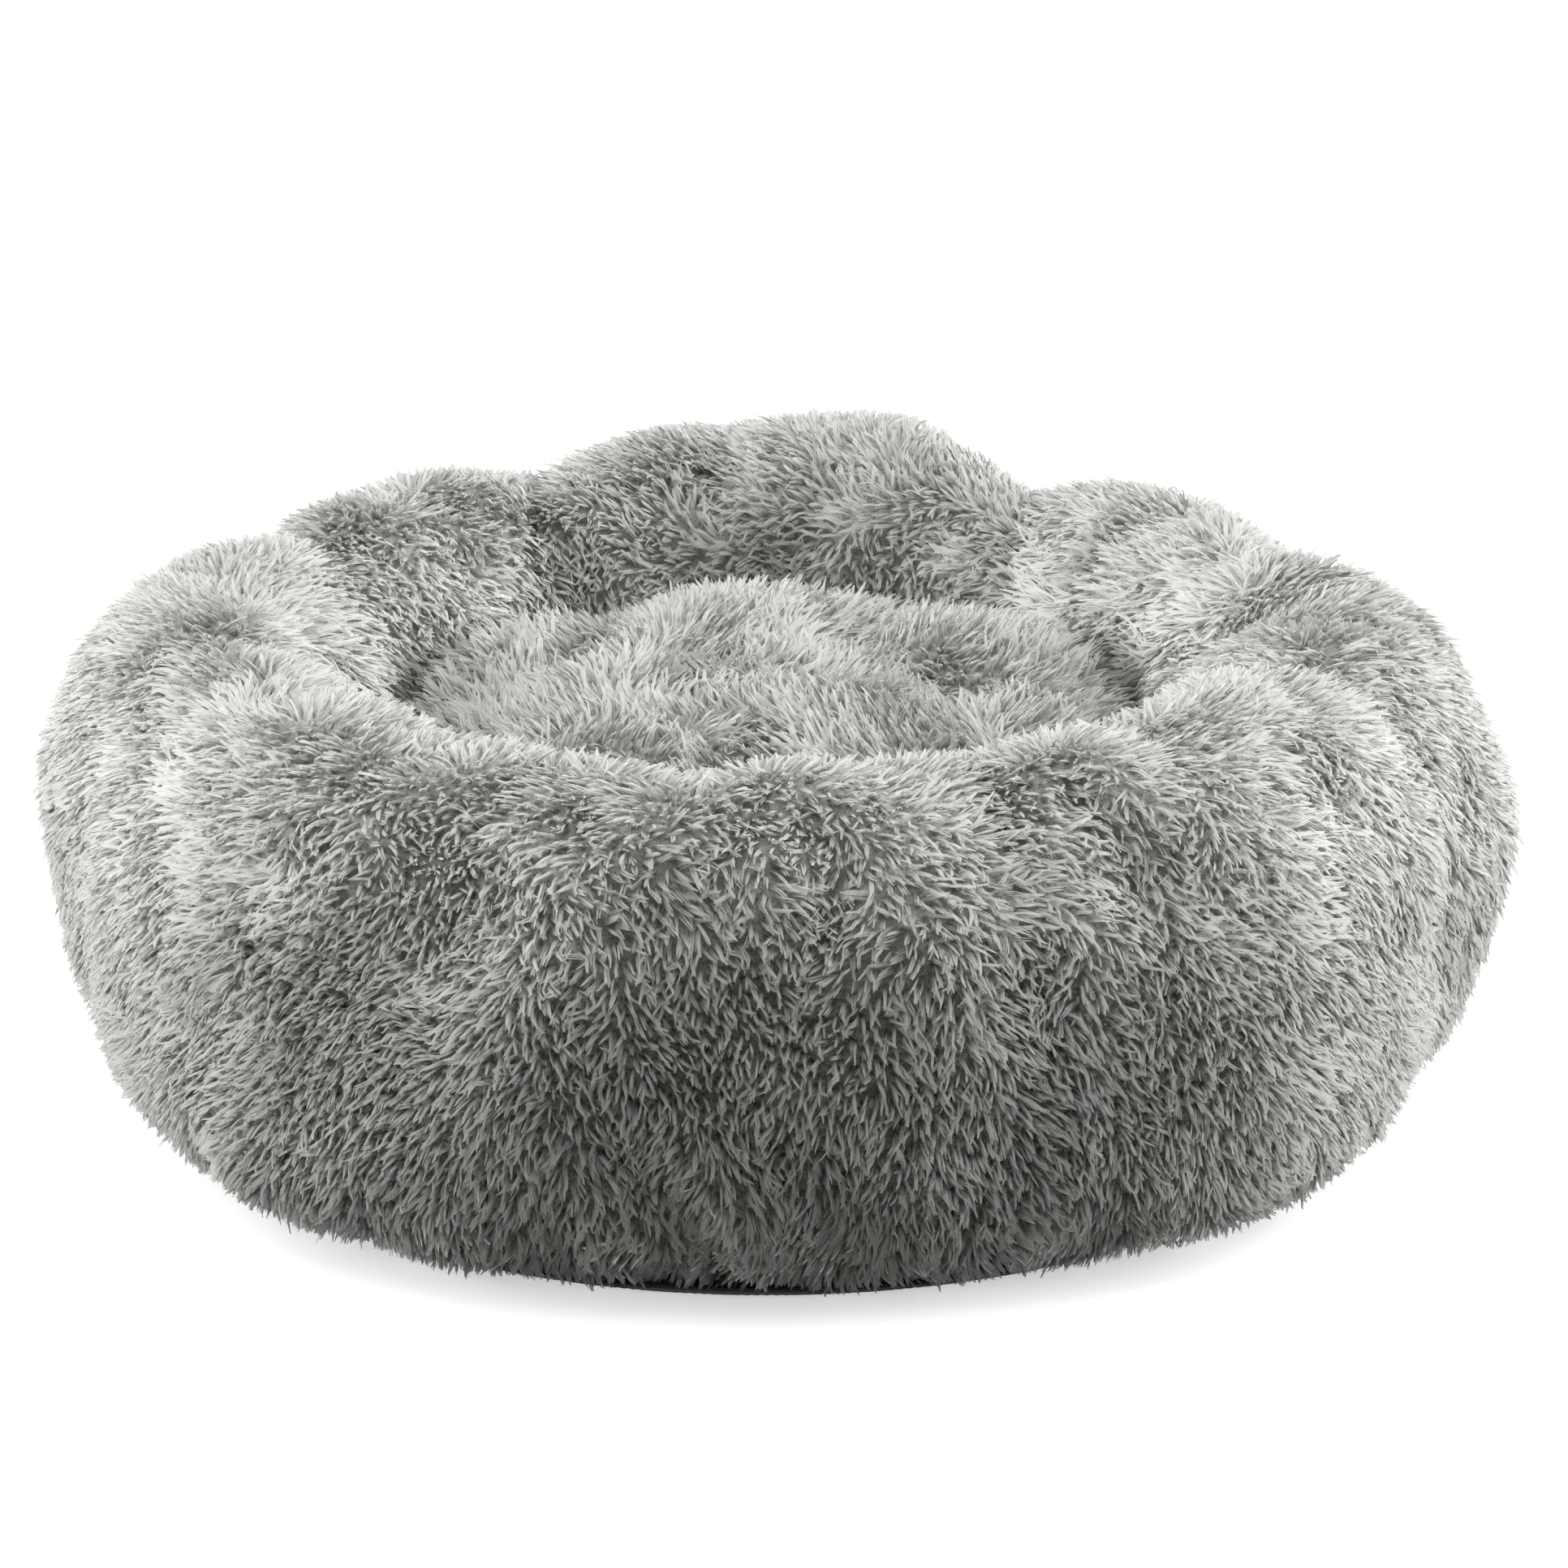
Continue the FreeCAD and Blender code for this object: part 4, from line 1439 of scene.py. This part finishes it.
    def build(self) -> None:
        """Make every piece and dress the zip."""
        stand_for(self.well.build(), "root", "well_floor")
        for side in (1.0, -1.0):
            stand_for(self.half(side), "root", "base_cloth")
            node = "zip_tape_left" if side > 0 else "zip_tape_right"
            stand_for(self.tape(side), "root", node)
        for piping, node in self.bindings:
            stand_for(piping.build(), "root", node)
        stand_for(self.label(), "root", "care_label")
        for row in self.sew():
            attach(row, "root")
            LOG.info("%s: %d faces", row.name, len(row.data.polygons))
        for node, finish in self.finishes:
            dress_node(node, finish)
            LOG.info("%s: %s", node, finish.name.lower())


@dataclass(frozen=True)
class Lamp:
    """A broad, far light: its bearing and height in degrees, its width in degrees and its strength."""

    name: str
    bearing: float
    height: float
    width: float
    strength: float


@dataclass
class Studio:
    """Floor, lights and camera."""

    floor_size: float = 40.0
    floor_glow: float = 0.50
    lamps: tuple[Lamp, ...] = (
        Lamp("left_low", 260.0, 8.0, 45.0, 2.8),
        Lamp("left_high", 284.0, 28.0, 45.0, 2.5),
        Lamp("right_low", 99.0, 8.0, 45.0, 2.6),
        Lamp("right_high", 78.0, 28.0, 45.0, 2.8),
        Lamp("overhead", 180.0, 86.0, 45.0, 1.1),
    )
    distance: float = 1.80
    elevation: float = 20.6
    lens: float = 99.3
    aim: tuple[float, float, float] = (0.0064, 0.0, 0.107)

    def build(self) -> None:
        """Make the floor, the lights and the camera."""
        self.lay_floor()
        for lamp in self.lamps:
            self.hang(lamp)
        self.light_world()
        self.set_camera()

    def lay_floor(self) -> None:
        """Lay a plain pale floor that lights nothing above it."""
        half = self.floor_size / 2.0
        corners = np.array([[-half, -half, 0.0], [half, -half, 0.0], [half, half, 0.0], [-half, half, 0.0]])
        shader = Shader("floor_paper")
        fibre = shader.noise(0.6, 2.0)
        shader.dress(shader.mix(fibre, grey(0.86, 0.01), grey(0.90, 0.01)), 0.9, Specular_IOR_Level=0.1,
                     Emission_Strength=self.floor_glow)
        shader.feed(shader.surface.inputs["Emission Color"], grey(1.0))
        floor = add_object("floor", quad_mesh("floor", corners, np.array([[0, 1, 2, 3]])))
        floor.data.materials.append(shader.material)
        floor.visible_diffuse = False

    @staticmethod
    def towards(bearing: float, height: float) -> Array:
        """Give the direction from the bed to a bearing and height in degrees."""
        flat = math.cos(math.radians(height))
        turn = math.radians(bearing)
        return np.array([flat * math.sin(turn), flat * math.cos(turn), math.sin(math.radians(height))])

    def hang(self, lamp: Lamp) -> None:
        """Hang one light."""
        data = bpy.data.lights.new(lamp.name, "SUN")
        data.energy = lamp.strength
        data.angle = math.radians(lamp.width)
        light = bpy.data.objects.new(lamp.name, data)
        bpy.context.scene.collection.objects.link(light)
        self.point(light, -self.towards(lamp.bearing, lamp.height))

    @staticmethod
    def point(thing: bpy.types.Object, heading: Array) -> None:
        """Turn a light or a camera to look along a heading."""
        sideways = unit(np.cross(heading, [0.0, 0.0, 1.0]))
        upward = np.cross(sideways, heading)
        axes = np.stack([sideways, upward, -np.asarray(heading)], axis=1)
        matrix = thing.matrix_world.copy()
        for row in range(3):
            for column in range(3):
                matrix[row][column] = axes[row][column]
        thing.matrix_world = matrix

    def light_world(self) -> None:
        """Make a white surround that only the camera sees."""
        world = bpy.data.worlds.new("surround")
        world.use_nodes = True
        world.node_tree.nodes["Background"].inputs[0].default_value = grey(1.0)
        world.cycles_visibility.diffuse = False
        world.cycles_visibility.glossy = False
        bpy.context.scene.world = world
        bpy.context.scene.view_settings.view_transform = "Standard"

    def set_camera(self) -> None:
        """Stand the camera in front of the bed, looking a little down."""
        data = bpy.data.cameras.new("camera")
        data.lens = self.lens
        data.sensor_width = 36.0
        data.clip_end = 100.0
        camera = bpy.data.objects.new("camera", data)
        bpy.context.scene.collection.objects.link(camera)
        heading = -self.towards(180.0, self.elevation)
        self.point(camera, heading)
        camera.location = np.array(self.aim) - heading * self.distance
        bpy.context.scene.camera = camera


def main() -> None:
    """Build the bed and its studio."""
    logging.basicConfig(level=logging.INFO, format="%(name)s: %(message)s")
    Studio().build()
    Rim().build()
    Cushion().build()
    Underside().build()


if __name__ == "__main__":
    main()
